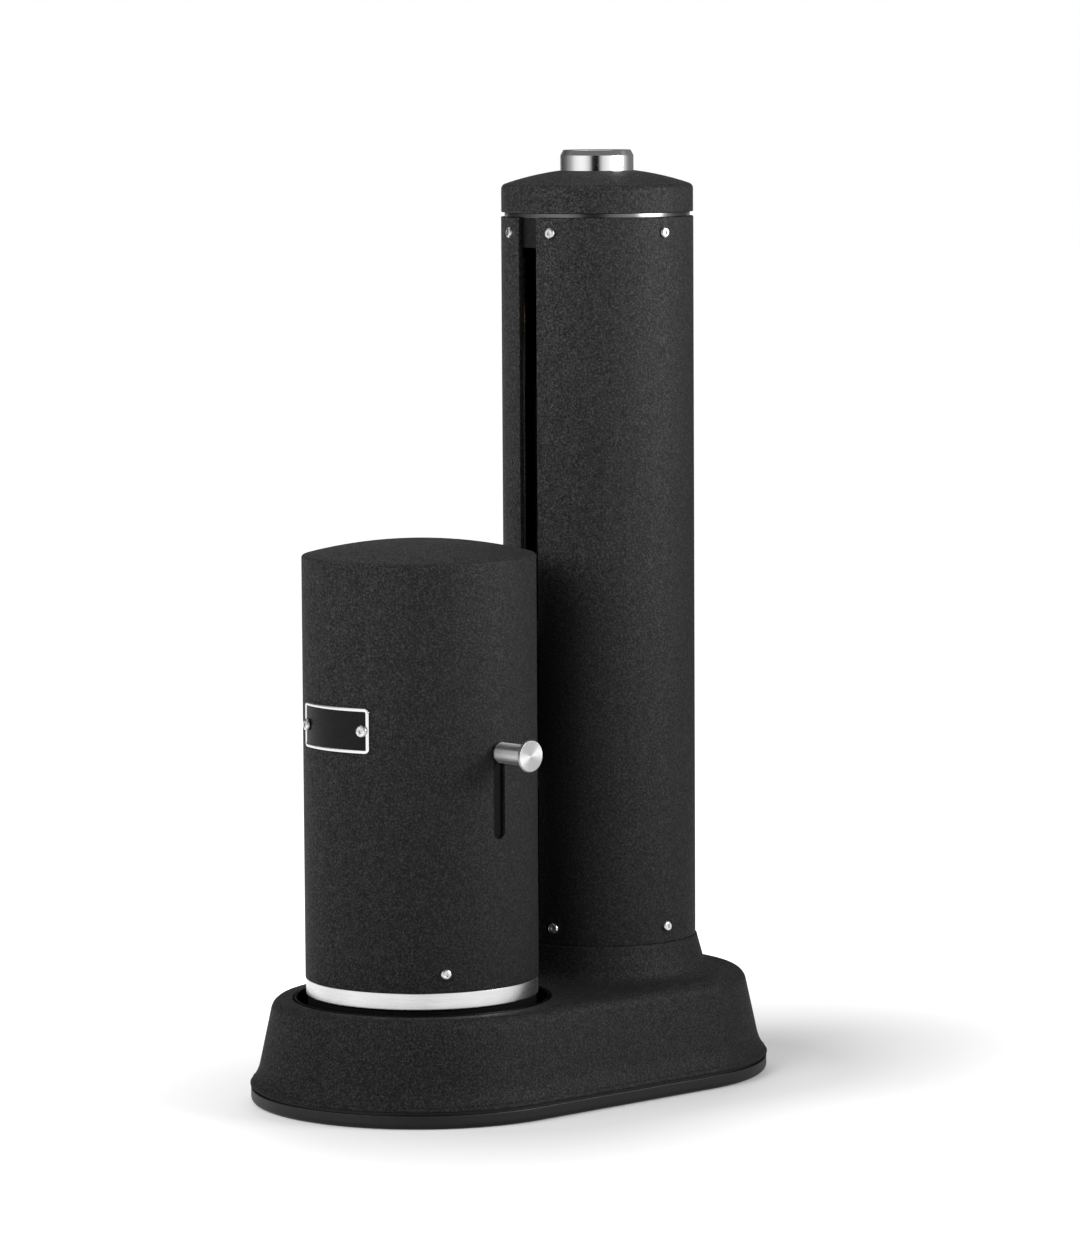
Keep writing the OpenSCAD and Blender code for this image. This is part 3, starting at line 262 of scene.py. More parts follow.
# %% [markdown]
# The top is flat, dips round the well's edge and sweeps up into a collar round the column. A height for each
# point of the plan says all of that at once, so the two forms can't leave a seam between them.

# %% Height of the top
WELL_R, WELL_ROUND = 56.6, 0.9
COLLAR_IN, COLLAR_TOP, COLLAR_OUT, COLLAR_Q = 43.7, 61.8, 53.9, 8.0


def top_height(x, y):
    """Base height + q - sqrt(q^2 - u^2) inside the collar's radius - the same rounding, downwards, at the well."""
    inside_collar = np.clip(COLLAR_OUT - np.hypot(x, y - COLUMN_Y), 0, COLLAR_Q * 0.985)
    up = COLLAR_Q - np.sqrt(COLLAR_Q ** 2 - inside_collar ** 2)
    at_well = np.clip(WELL_R + WELL_ROUND - np.hypot(x, y - SHELL_Y), 0, WELL_ROUND)
    down = WELL_ROUND - np.sqrt(np.clip(WELL_ROUND ** 2 - at_well ** 2, 0, None))
    return BASE_H + up - down


print("height between well and column:", top_height(0.0, 4.0))

# %% [markdown]
# A grid in x and y would cut across both round holes. Rays from a hole's centre follow its edge, so each half of
# the top is a fan of rays, and the two fans meet on one straight line where they share their points.

# %% One half of the top
SPLIT_Y = 5.5
rim_x = edge_centre[0]
LINE_POINTS, SIDE_POINTS, END_POINTS, RAY_POINTS = 61, 24, 110, 26
line_x = rim_x * np.sin(np.linspace(-math.pi / 2, math.pi / 2, LINE_POINTS))


def rim_loop(sign):
    """Rim of the flat top for one half: from (+x, split) round the end to (-x, split), and the split line back."""
    y_side = np.linspace(SPLIT_Y, sign * END_Y, SIDE_POINTS)[:-1]
    a = np.linspace(0, math.pi, END_POINTS)
    end = np.stack([rim_x * np.cos(a), sign * END_Y + sign * rim_x * np.sin(a)], -1)
    side = np.stack([np.full(len(y_side), rim_x), y_side], -1)
    back = side[::-1] * (-1, 1)
    line = np.stack([line_x[1:-1], np.full(LINE_POINTS - 2, SPLIT_Y)], -1)
    normals = np.concatenate([np.broadcast_to((1.0, 0.0), side.shape),
                              np.stack([np.cos(a), sign * np.sin(a)], -1),
                              np.broadcast_to((-1.0, 0.0), back.shape)])
    return np.concatenate([side, end, back]), normals, line


def half_top(sign, centre_y, hole):
    """Point (i, j) is the hole's centre + unit ray i x radius j, at top_height. The skirt hangs on the outer rim."""
    outer, normals, line = rim_loop(sign)
    loop = np.concatenate([outer, line])
    centre = np.array((0, centre_y))
    away = loop - centre
    far = np.linalg.norm(away, axis=1)[:, None]
    ray = away / far
    near = hole[-1][0]
    radii = near + (far - near) * np.linspace(0, 1, RAY_POINTS)[1:] ** 1.35
    xy = centre + ray[:, None, :] * radii[:, :, None]
    field = np.concatenate([xy, top_height(xy[..., 0], xy[..., 1])[..., None]], -1)
    hole_xy = centre + ray[:, None, :] * hole[None, :, :1]
    ring = np.concatenate([hole_xy, np.broadcast_to(hole[None, :, 1:], hole_xy.shape[:2] + (1,))], -1)
    top = np.concatenate([ring, field], 1)
    top_faces = grid_faces(len(loop), top.shape[1], True)
    rim = outer[:, None, :] + normals[:, None, :] * (skirt[None, :, :1] - rim_x)
    side = np.concatenate([rim, np.broadcast_to(skirt[None, :, 1:], rim.shape[:2] + (1,))], -1)
    side_faces = grid_faces(len(outer), len(skirt))
    if sign > 0:
        top_faces, side_faces = top_faces[:, ::-1], side_faces[:, ::-1]
    return join((top.reshape(-1, 3), top_faces), (side.reshape(-1, 3), side_faces))


print("rays in the front half:", sum(len(q) for q in rim_loop(-1)[::2]))

# %% [markdown]
# The well's edge and the collar are the inner outlines of the two fans. The casting gets its real wall of 2.4 mm
# from a Solidify modifier, which works inwards from the faces.

# %% Base casting
quarter = np.linspace(0, math.pi / 2, 9)
well_edge = np.concatenate([
    [(WELL_R, 36.0), (WELL_R, BASE_H - WELL_ROUND - 0.6)],
    np.stack([WELL_R + WELL_ROUND * (1 - np.cos(quarter)), BASE_H - WELL_ROUND * (1 - np.sin(quarter))], -1)])
collar_edge = np.concatenate([
    [(40.5, COLLAR_TOP - 6), (40.5, COLLAR_TOP), (COLLAR_IN - 1.2, COLLAR_TOP)],
    arc_points((COLLAR_IN - 1, COLLAR_TOP - 1), 1, 90, 0, 6),
    [(COLLAR_IN + 0.05, COLLAR_TOP - 1.4)],
    arc_points((COLLAR_OUT, BASE_H + COLLAR_Q), COLLAR_Q, 190, 235, 10)])
make("base_casting", join(half_top(-1, SHELL_Y, well_edge), half_top(1, COLUMN_Y, collar_edge)), "root",
     ["base_shell"], "black_powder_coat", angle=40, recalculate=False, wall=2.4)

# %% [markdown]
# ## Foot band
# A smooth dark band runs round the foot, with a shadow groove between it and the casting. It is one small section
# carried along the stadium, which suits any trim of even thickness.

# %% Foot band


def stadium(arc_count=96, side_count=40):
    """Centres c and outward normals n round a stadium: a point at radius r is c + r n."""
    a = np.linspace(0, math.pi, arc_count)
    far_n = np.stack([np.cos(a), np.sin(a)], -1)
    far_c = np.broadcast_to((0, END_Y), (arc_count, 2))
    y_left = np.linspace(END_Y, -END_Y, side_count + 2)[1:-1]
    left_c = np.stack([0 * y_left, y_left], -1)
    left_n = np.broadcast_to((-1.0, 0.0), (side_count, 2))
    return np.concatenate([far_c, left_c, -far_c, -left_c]), np.concatenate([far_n, left_n, -far_n, -left_n])


def swept_stadium(section):
    """The section (r, z) carried along the stadium: P(u, v) = c(u) + r(v) n(u), at height z(v)."""
    c, n = stadium()
    xy = c[:, None, :] + n[:, None, :] * section[None, :, :1]
    z = np.broadcast_to(section[None, :, 1:], xy.shape[:2] + (1,))
    return np.concatenate([xy, z], -1).reshape(-1, 3), grid_faces(len(c), len(section), True, True)


foot_r, foot_top = box("foot_band")[1][[0, 2]]
foot_in, groove_r = foot_r - 6.2, foot_r - 1.4
band = rounded([(foot_in, 0, 0.4), (foot_r, 0, 2.4), (foot_r, foot_top - 1.0, 0.4), (groove_r, foot_top - 1.1, 0.1),
                (groove_r, foot_top, 0), (foot_in, foot_top, 0.3)])
make("foot_ring", swept_stadium(band), "root", ["foot_band"], "smooth_dark_band")

# %% [markdown]
# ## Column
# The column is a tube with one long slot in front. The wall's section is turned from one side of the slot round to
# the other. Each radius starts at its own angle, so both faces of the slot come out flat, as a saw leaves them.

# %% Column tube
SLOT_W, TUBE_IN, TUBE_TURNS = 11.0, 40.4, 241
wall_section = rounded([(TUBE_IN, tube_lo[2], 0.3), (COLUMN_R, tube_lo[2], 0.3), (COLUMN_R, tube_hi[2], 0.3),
                        (TUBE_IN, tube_hi[2], 0.3)], steps=3, guard=0.3)


def slotted_tube(section):
    """(r, z) becomes (r sin t, y0 - r cos t, z), where t runs from asin(w / 2r) to a full turn less that."""
    slot_angle = np.arcsin(SLOT_W / 2 / section[:, 0])[None, :]
    t = slot_angle + (2 * math.pi - 2 * slot_angle) * np.linspace(0, 1, TUBE_TURNS)[:, None]
    z = np.broadcast_to(section[:, 1], t.shape)
    points = np.stack([section[:, 0] * np.sin(t), COLUMN_Y - section[:, 0] * np.cos(t), z], -1)
    count = len(section)
    ends = [list(range(count)), [(TUBE_TURNS - 1) * count + q for q in range(count)][::-1]]
    return points.reshape(-1, 3), grid_faces(TUBE_TURNS, count, False, True).tolist() + ends


make("column_wall", slotted_tube(wall_section), "root", ["column_tube"], "black_powder_coat", bevel=0.35)

# %% [markdown]
# ## Cap and push button
# A thin bright ring fills the gap between the column and its cap. The cap is a shallow dome with a hole for the
# button, and the button is a thick polished disc with a turned edge. All three are plain turned parts.

# %% Ring, cap and button
ring_lo, ring_hi = box("cap_ring")
RING_IN = 38
ring_section = rounded([(RING_IN, ring_lo[2], 0), (ring_hi[0], ring_lo[2], 0.2), (ring_hi[0], ring_hi[2], 0.2),
                        (RING_IN, ring_hi[2], 0)])
make("cap_gap_ring", revolve(ring_section, (0, COLUMN_Y)), "root", ["cap_ring"], "polished_steel")

cap_lo, cap_hi = box("column_cap")
cap_r, cap_apex = cap_hi[0], cap_hi[2]
CAP_SPHERE, CAP_HOLE, CAP_WALL = 128.0, 16.6, 2.5
cap_rim_z = cap_apex - CAP_SPHERE + math.sqrt(CAP_SPHERE ** 2 - cap_r ** 2)
cap_section = rounded(
    [(cap_r - CAP_WALL, cap_lo[2], 0.2), (cap_r, cap_lo[2], 0.35), (cap_r, cap_rim_z, 2.6)]
    + dome(cap_r - 4.5, CAP_HOLE + 0.6, cap_apex, CAP_SPHERE, 14)
    + [(CAP_HOLE, cap_apex - 1.1, 0.35), (CAP_HOLE, cap_apex - 3.2, 0)]
    + [(r, z - CAP_WALL, 0) for r, z, _ in dome(CAP_HOLE + 0.6, cap_r - 4.5, cap_apex, CAP_SPHERE, 8)]
    + [(cap_r - CAP_WALL, cap_rim_z - 2.6, 0.5)], steps=8)
make("cap_dome", revolve(cap_section, (0, COLUMN_Y), 240), "root", ["column_cap"], "black_powder_coat")

push_lo, push_hi = box("push_button")
push_foot, push_top = push_lo[2], push_hi[2]
PUSH_R, PUSH_FLANGE, PUSH_IN = 16.3, 18.1, 9.6
button_section = rounded([(PUSH_IN, push_foot, 0), (PUSH_FLANGE, push_foot, 0.2), (PUSH_FLANGE, push_foot + 2, 0.2),
                          (PUSH_R, push_foot + 2, 0.2), (PUSH_R, push_top - 2.5, 0.7), (PUSH_R - 1.3, push_top, 0.5),
                          (0, push_top, 0), (0, push_top - 2, 0), (PUSH_IN, push_top - 2, 0)], steps=5)
make("top_button", revolve(button_section, (0, COLUMN_Y)), "button", ["push_button"], "polished_steel", angle=40)

# %% [markdown]
# ## Front shell
# The shell is a drawn cup turned upside down, with a slot for the lever cut in its side. A cut with a Boolean
# leaves long thin faces that shade badly. Here the wall is a grid of (angle, height), a rectangle of it is left
# open, and rings of quads lead from that rectangle to the slot's outline.

# %% Shell grid
LEVER_SLOT_R, LEVER_SLOT_LOW, LEVER_SLOT_HIGH = 3.25, 122.9, 157.9
SHELL_SPHERE = 200.0
PATCH_STEPS, PATCH_HALF, REST_STEPS, PATCH_RINGS = 12, 11.0, 150, 9
patch_angle = PATCH_HALF / SHELL_R
angles = np.concatenate([np.linspace(-patch_angle, patch_angle, PATCH_STEPS + 1),
                         np.linspace(patch_angle, 2 * math.pi - patch_angle, REST_STEPS + 1)[1:-1]])
patch_low, patch_high = LEVER_SLOT_LOW - PATCH_HALF, LEVER_SLOT_HIGH + PATCH_HALF
shell_rim = shell_hi[2] - SHELL_SPHERE + math.sqrt(SHELL_SPHERE ** 2 - SHELL_R ** 2)
heights_low = np.concatenate([[shell_lo[2], shell_lo[2] + 0.4], np.linspace(shell_lo[2] + 3, patch_low, 20)])
heights_patch = np.linspace(patch_low, patch_high, 25)[1:]
heights_high = np.linspace(patch_high, shell_rim - 4, 22)[1:]
heights = np.concatenate([heights_low, heights_patch, heights_high])
crown = rounded([(SHELL_R, patch_high, 0), (SHELL_R, shell_rim, 1.15)]
                + dome(SHELL_R - 2.5, 0, shell_hi[2], SHELL_SPHERE, 26), steps=8, guard=0.5, closed=False)
shell_section = np.concatenate([np.stack([0 * heights + SHELL_R, heights], -1), crown[1:]])
print("shell grid:", len(angles), "x", len(shell_section))

# %% [markdown]
# The open rectangle is filled by nine rings. They crowd towards the slot, where the edge's light falls.

# %% Shell with its lever slot


def on_shell(s, z):
    """A flat point (s, z) rolled onto the side of the shell: (R cos(s / R), y0 + R sin(s / R), z)."""
    return np.stack([SHELL_R * np.cos(s / SHELL_R), SHELL_Y + SHELL_R * np.sin(s / SHELL_R), z], -1)


def slot_patch(s, z):
    """Rings from the rectangle's edge Q to the slot's point c + r (Q - c) / |Q - c|, c the nearest on its axis."""
    outline = np.array([(q, z[0]) for q in s[:-1]] + [(s[-1], q) for q in z[:-1]]
                       + [(q, z[-1]) for q in s[:0:-1]] + [(s[0], q) for q in z[:0:-1]])
    axis = np.stack([0 * outline[:, 0], np.clip(outline[:, 1], LEVER_SLOT_LOW, LEVER_SLOT_HIGH)], -1)
    away = outline - axis
    slot = axis + LEVER_SLOT_R * away / np.linalg.norm(away, axis=1)[:, None]
    share = np.linspace(0, 1, PATCH_RINGS)[:, None, None] ** 1.6
    rings = (slot[None] * (1 - share) + outline[None] * share).transpose(1, 0, 2)
    return on_shell(rings[..., 0], rings[..., 1]).reshape(-1, 3), grid_faces(len(outline), PATCH_RINGS, True)[:, ::-1]


patch_row, patch_end = len(heights_low) - 1, len(heights_low) + len(heights_patch) - 1
shell_grid = np.stack([shell_section[:, 0] * np.cos(angles)[:, None],
                       SHELL_Y + shell_section[:, 0] * np.sin(angles)[:, None],
                       np.broadcast_to(shell_section[:, 1], (len(angles), len(shell_section)))], -1)
shell_faces = grid_faces(len(angles), len(shell_section), True).reshape(len(angles), len(shell_section) - 1, 4)
closed_part = np.ones(shell_faces.shape[:2], bool)
closed_part[:PATCH_STEPS, patch_row:patch_end] = False
patch = slot_patch(angles[:PATCH_STEPS + 1] * SHELL_R, shell_section[patch_row:patch_end + 1, 1])
make("shell_cover", join((shell_grid.reshape(-1, 3), shell_faces[closed_part]), patch), "front_shell",
     ["front_shell"], "black_powder_coat", angle=40, wall=1.5, bevel=0.25)

# %% [markdown]
# ## Trim ring and tray
# A bright satin ring closes the shell's lower edge, and reaches up inside it. The well below is lined with a
# shallow black tray, whose thin glossy lip shows as a dark line round the well.

# %% Trim ring and tray
trim_lo, trim_hi = box("shell_trim_ring")
trim_r, trim_low, trim_neck = trim_hi[0], trim_lo[2], shell_lo[2]
TRIM_IN, TRIM_UP = 47.6, 13.8
trim_section = rounded([(TRIM_IN, trim_low, 0.4), (trim_r, trim_low, 0.5), (trim_r, trim_neck, 0.3),
                        (trim_r - 1.6, trim_neck, 0), (trim_r - 1.6, trim_neck + TRIM_UP, 0.3),
                        (TRIM_IN, trim_neck + TRIM_UP, 0.3)], steps=5)
make("trim_band", revolve(trim_section, (0, SHELL_Y), 240), "front_shell", ["shell_trim_ring"], "brushed_steel")

tray_lo, tray_hi = box("well_tray")
tray_r, tray_low, tray_top = tray_hi[0], tray_lo[2], tray_hi[2]
TRAY_LIP, TRAY_FLOOR = 0.8, 1.6
tray_section = rounded([(0, tray_low, 0), (tray_r, tray_low, 0.8), (tray_r, tray_top, 0.38),
                        (tray_r - TRAY_LIP, tray_top, 0.38), (tray_r - TRAY_LIP, tray_low + TRAY_FLOOR, 0.8),
                        (0, tray_low + TRAY_FLOOR, 0)], steps=5)
make("tray", revolve(tray_section, (0, SHELL_Y), 240), "root", ["well_tray"], "gloss_black_lip")

# %% [markdown]
# ## Lever
# The lever is a turned stem with a thin disc on its end. Both are turned about the X axis. The disc's flank is a
# cone that meets a narrow rim and a small chamfer, so that its bright face has a crisp edge.

# %% Lever
stem_lo, stem_hi = box("lever_stem")
disc_lo, disc_hi = box("lever_head")
lever_z = (disc_lo[2] + disc_hi[2]) / 2
stem_in, disc_in, disc_face = stem_lo[0], disc_lo[0], disc_hi[0]
stem_r, disc_r = (stem_hi[2] - stem_lo[2]) / 2, (disc_hi[2] - disc_lo[2]) / 2
stem_out = SHELL_R + 1.1
SLOT_NECK_R, NECK_IN, SCREW_R = 3.0, SHELL_R - 5.5, 1.5
stem_section = rounded([(0, stem_in, 0), (SCREW_R, stem_in, 0), (SCREW_R, NECK_IN, 0), (SLOT_NECK_R, NECK_IN, 0),
                        (SLOT_NECK_R, stem_out + 0.2, 0), (stem_r, stem_out, 0.5), (stem_r, disc_in - 0.8, 0.3),
                        (0.8 * stem_r, disc_in - 0.8, 0), (0.8 * stem_r, disc_in, 0), (0, disc_in, 0)], steps=5)
make("lever_rod", revolve(stem_section, (SHELL_Y, lever_z), 96, "x"), "lever", ["lever_stem"], "brushed_steel")
disc_section = rounded([(0, disc_in, 0), (stem_r, disc_in, 0.2), (disc_r, disc_face - 0.9, 0.15),
                        (disc_r, disc_face - 0.5, 0.1), (disc_r - 0.5, disc_face, 0.15), (0, disc_face, 0)], steps=4)
make("lever_disc", revolve(disc_section, (SHELL_Y, lever_z), 128, "x"), "lever", ["lever_head"], "brushed_steel")

# %% [markdown]
# ## Name plate
# The plate is a bare dark field in a bright frame, both bent to the shell's curve. They are worked out flat, as
# rounded rectangles, and then wrapped round the shell, which is how sheet metal is made too.

# %% Flat and wrapped


def wrap(s, z, height):
    """A flat point laid on the shell's front: (r sin(s / R), y0 - r cos(s / R), z), with r = R + height."""
    r = SHELL_R + height
    return np.stack([r * np.sin(s / SHELL_R), SHELL_Y - r * np.cos(s / SHELL_R), z], -1)


def rect_loop(half_w, half_h, corner_r, arc_count=10, side_count=24):
    """Centres c and normals n round a rounded rectangle: a point d outside it is c + (corner_r + d) n."""
    centres, normals = [], []
    signs = [(1, 1), (-1, 1), (-1, -1), (1, -1)]
    corners = [np.array((x * (half_w - corner_r), z * (half_h - corner_r))) for x, z in signs]
    along = np.linspace(0, 1, side_count + 2)[1:-1, None]
    for i, corner in enumerate(corners):
        a = np.radians(np.linspace(90 * i, 90 * i + 90, arc_count))
        arc = np.stack([np.cos(a), np.sin(a)], -1)
        centres += [np.broadcast_to(corner, (arc_count, 2)), corner + (corners[(i + 1) % 4] - corner) * along]
        normals += [arc, np.broadcast_to(arc[-1], (side_count, 2))]
    return np.concatenate(centres), np.concatenate(normals)


frame_lo, frame_hi = box("plate_frame")
plate_z = (frame_lo[2] + frame_hi[2]) / 2
FRAME_TOP, FRAME_CORNER, FRAME_W = 1.24, 2.0, 1.5
frame_half_w = SHELL_R * math.asin(frame_hi[0] / (SHELL_R + 1.25))
frame_half_h = (frame_hi[2] - frame_lo[2]) / 2
print("plate frame:", round(2 * frame_half_w, 2), "x", round(2 * frame_half_h, 2), "mm, flat")

# %% [markdown]
# The frame is a strip carried round the rectangle. The plate is a row of shrinking rectangles down to its middle,
# so its face follows the curve and has no long thin triangles.

# %% Frame and plate
c, n = rect_loop(frame_half_w, frame_half_h, FRAME_CORNER)
strip = rounded([(-FRAME_W, 0.06, 0), (0, 0.06, 0), (0, FRAME_TOP, 0.4), (-FRAME_W, FRAME_TOP, 0.3)], steps=5)
flat = c[:, None, :] + n[:, None, :] * (FRAME_CORNER + strip[None, :, :1])
frame_points = wrap(flat[..., 0], flat[..., 1] + plate_z, np.broadcast_to(strip[None, :, 1], flat.shape[:2]))
make("plate_rim", (frame_points.reshape(-1, 3), grid_faces(len(c), len(strip), True, True)), "front_shell",
     ["plate_frame"], "polished_steel")

PLATE_UNDER, PLATE_EDGE, PLATE_FACE = 0.06, 0.6, 0.84
c, n = rect_loop(frame_half_w - FRAME_W - 0.05, frame_half_h - FRAME_W - 0.05, 1.0, 6)
shrink = np.concatenate([[1, 1], np.linspace(1, 0.02, 9)])
lift = np.array([PLATE_UNDER, PLATE_EDGE] + [PLATE_FACE] * 9)
flat = (c + n)[:, None, :] * shrink[None, :, None]
rows, columns = flat.shape[:2]
plate_points = wrap(flat[..., 0], flat[..., 1] + plate_z, np.broadcast_to(lift, (rows, columns)))
caps = [[i * columns + columns - 1 for i in range(rows)], [i * columns for i in range(rows)][::-1]]
make("plate", (plate_points.reshape(-1, 3), grid_faces(rows, columns, True).tolist() + caps), "front_shell",
     ["name_plate"], "gloss_black_lip", angle=50)

# %% [markdown]
# ## Button-head screws
# Small stainless screws hold the shell, the column and the plate. A head is a grid of turned rows whose last rows
# change from a circle into the hexagon of the key's recess, so no hole has to be cut.

# %% One screw head
HEAD_R, HEAD_H, HEX_R, HEX_DEEP, HEAD_TURNS = 2.4, 1.4, 0.91, 0.9, 48


def screw_head(r):
    """Rows (r(t) cos t, r(t) sin t, z). The recess has r(t) = a cos(30) / cos((t mod 60) - 30)."""
    t = 2 * math.pi * np.arange(HEAD_TURNS) / HEAD_TURNS
    hexagon = HEX_R * math.cos(math.pi / 6) / np.cos((t % (math.pi / 3)) - math.pi / 6)
    crown_a = np.linspace(0.18, 1, 7) * math.pi / 2
    radii = [r, r] + list(r - 1.0 + np.cos(crown_a)) + [hexagon + 0.1, hexagon, hexagon, 0]
    levels = [-0.04, 0.28 * HEAD_H] + list(HEAD_H * (0.28 + 0.72 * np.sin(crown_a))) \
        + [HEAD_H, HEAD_H - 0.08, HEAD_H - HEX_DEEP, HEAD_H - HEX_DEEP - 0.2]
    rows = [np.stack([q * np.cos(t), q * np.sin(t), 0 * t + z], -1) for q, z in zip(radii, levels)]
    grid = np.stack(rows, 1)
    columns = grid.shape[1]
    under = [[i * columns for i in range(HEAD_TURNS)][::-1]]
    return grid.reshape(-1, 3), grid_faces(HEAD_TURNS, columns, True).tolist() + under


def placed(part, origin, x_to, z_to):
    """The part with its Z along z_to and its X as near x_to as it can be, moved to origin."""
    z = np.array(z_to, float)
    z /= np.linalg.norm(z)
    x = np.array(x_to, float)
    x = x - z * (x @ z)
    x /= np.linalg.norm(x)
    return part[0] @ np.stack([x, np.cross(z, x), z]) + np.array(origin, float), part[1]


def radial_screws(centre_y, seat, z, degrees, r=HEAD_R):
    """Heads on a round wall: each stands at its angle from the front, seat from the axis, and points outwards."""
    parts = []
    for angle in np.radians(degrees):
        out = np.array((math.sin(angle), -math.cos(angle), 0))
        parts.append(placed(screw_head(r), out * seat + (0, centre_y, z), (0.3, 0, 1), out))
    return join(*parts)


print("a screw head has", len(screw_head(HEAD_R)[0]), "points")

# %% [markdown]
# The screws stand at the places that their CAD nodes give, and every set is one piece.

# %% All the screws
SEAT_GAP, PLATE_SEAT, PLATE_HEAD_R = 0.05, 1.3, 2.65
SCREW_ANGLE = 28
column_angles, shell_angles, plate_angles = (-90, -17.7, 17.7, 90, 180), (-60, 60, 180), (-20, 20)


def middle_z(name):
    """Height of the middle of a CAD node."""
    lo, hi = box(name)
    return (lo[2] + hi[2]) / 2


for cad_name, name in (("lower_column_screws", "screws_low"), ("upper_column_screws", "screws_high")):
    heads = radial_screws(COLUMN_Y, COLUMN_R + SEAT_GAP, middle_z(cad_name), column_angles)
    make(name, heads, "root", [cad_name], "screw_steel", angle=SCREW_ANGLE)
make("screws_shell", radial_screws(SHELL_Y, SHELL_R + SEAT_GAP, middle_z("shell_screws"), shell_angles),
     "front_shell", ["shell_screws"], "screw_steel", angle=SCREW_ANGLE)
make("screws_plate", radial_screws(SHELL_Y, SHELL_R + PLATE_SEAT, plate_z, plate_angles, PLATE_HEAD_R),
     "front_shell", ["plate_screws"], "screw_steel", angle=SCREW_ANGLE)

# %% [markdown]
# ## Shader helpers
# A finish is a few noises and a little arithmetic. Each helper below adds one node, so that every finish reads as
# a short sum.

# %% Shader helpers
MIX_A, MIX_B, MIX_OUT = 6, 7, 2


def feed(tree, socket, value):
    """Links a socket to an input, or sets a plain value on it."""
    if isinstance(value, bpy.types.NodeSocket):
        tree.links.new(value, socket)
    else:
        socket.default_value = value


def add_node(tree, kind, **inputs):
    """A node with some of its inputs fed. An underscore stands for a space in an input's name."""
    added = tree.nodes.new(kind)
    for key, value in inputs.items():
        feed(tree, added.inputs[key.replace("_", " ")], value)
    return added


def maths(tree, operation, *values):
    """A Math node's result."""
    added = tree.nodes.new("ShaderNodeMath")
    added.operation = operation
    for socket, value in zip(added.inputs, values):
        feed(tree, socket, value)
    return added.outputs[0]


def length(tree, a, b):
    """sqrt(a^2 + b^2)."""
    return maths(tree, "SQRT", maths(tree, "ADD", maths(tree, "MULTIPLY", a, a), maths(tree, "MULTIPLY", b, b)))


def weighted(tree, a, a_share, b, b_share):
    """a_share a + b_share b."""
    return maths(tree, "ADD", maths(tree, "MULTIPLY", a, a_share), maths(tree, "MULTIPLY", b, b_share))


def noise(tree, vector, scale, detail, rough):
    """A noise value."""
    made = add_node(tree, "ShaderNodeTexNoise", Vector=vector, Scale=scale, Detail=detail, Roughness=rough)
    return made.outputs["Fac"]


def spread(tree, value, lo, hi, to_lo=0.0, to_hi=1.0):
    """Maps lo..hi to to_lo..to_hi, clamped."""
    ranged = add_node(tree, "ShaderNodeMapRange", Value=value, From_Min=lo, From_Max=hi, To_Min=to_lo, To_Max=to_hi)
    return ranged.outputs["Result"]


def mix_colour(tree, share, first, second, blend="MIX"):
    """Two colours mixed, or added where blend is ADD."""
    mixed = tree.nodes.new("ShaderNodeMix")
    mixed.data_type, mixed.blend_type = "RGBA", blend
    for number, value in ((0, share), (MIX_A, first), (MIX_B, second)):
        feed(tree, mixed.inputs[number], value)
    return mixed.outputs[MIX_OUT]


def new_group(name, outputs):
    """An empty node group from a Vector to some floats: the group, its Vector and the node for its results."""
    group = bpy.data.node_groups.new(name, "ShaderNodeTree")
    group.interface.new_socket("Vector", in_out="INPUT", socket_type="NodeSocketVector")
    for label in outputs:
        group.interface.new_socket(label, in_out="OUTPUT", socket_type="NodeSocketFloat")
    return group, group.nodes.new("NodeGroupInput").outputs["Vector"], group.nodes.new("NodeGroupOutput")


print("a colour mix reads sockets", MIX_A, "and", MIX_B, "and gives socket", MIX_OUT)

# %% [markdown]
# ## Powder grain
# A baked powder coat melts out of small grains and keeps a fine pebbled skin. Fine sand and wider pebbles together
# give its height. Its tone is mostly the sand with some slow mottling. On its highest grains a little grey is added
# to the colour, as a painted glint where the light would catch them.

# %% Powder grain
FINE_SCALE, PEBBLE_SCALE, MOTTLE_SCALE = 1200.0, 620.0, 300.0
FINE_HEIGHT, PEBBLE_HEIGHT = 0.5, 0.8
MOTTLE_TONE, FINE_TONE = 0.2, 0.8

grain_group, v, results = new_group("powder grain", ["Height", "Tone", "Painted glint"])
fine = noise(grain_group, v, FINE_SCALE, 2.0, 0.6)
pebble = noise(grain_group, v, PEBBLE_SCALE, 2.0, 0.5)
mottle = noise(grain_group, v, MOTTLE_SCALE, 3.0, 0.55)
tone = weighted(grain_group, mottle, MOTTLE_TONE, fine, FINE_TONE)
feed(grain_group, results.inputs["Height"], weighted(grain_group, fine, FINE_HEIGHT, pebble, PEBBLE_HEIGHT))
feed(grain_group, results.inputs["Tone"], spread(grain_group, tone, 0.39, 0.61))
# Painted glint: the highest fine grains, where light grey is added to the colour.
feed(grain_group, results.inputs["Painted glint"], spread(grain_group, fine, 0.56, 0.72))
print(grain_group.name, "has", len(grain_group.nodes), "nodes")

# %% [markdown]
# ## Brushing and turning
# A brushed face has scratches that run one way, so its noise is drawn out along an axis. A turned face has rings,
# so its noise depends only on the distance from the X axis: r = sqrt(y^2 + z^2).

# %% Brushing and turning
ACROSS_SCALE, ALONG_SCALE = 9000.0, 60.0
LINE_TONE, PATCH_TONE = 0.7, 0.3

brush_group, v, results = new_group("brushing", ["Height", "Tone"])
drawn = add_node(brush_group, "ShaderNodeMapping", Vector=v, Scale=(ALONG_SCALE, ALONG_SCALE, ACROSS_SCALE))
lines = noise(brush_group, drawn.outputs[0], 1.0, 4.0, 0.65)
patchy = noise(brush_group, v, ALONG_SCALE, 2.0, 0.5)
feed(brush_group, results.inputs["Height"], lines)
feed(brush_group, results.inputs["Tone"],
     spread(brush_group, weighted(brush_group, lines, LINE_TONE, patchy, PATCH_TONE), 0.35, 0.65))

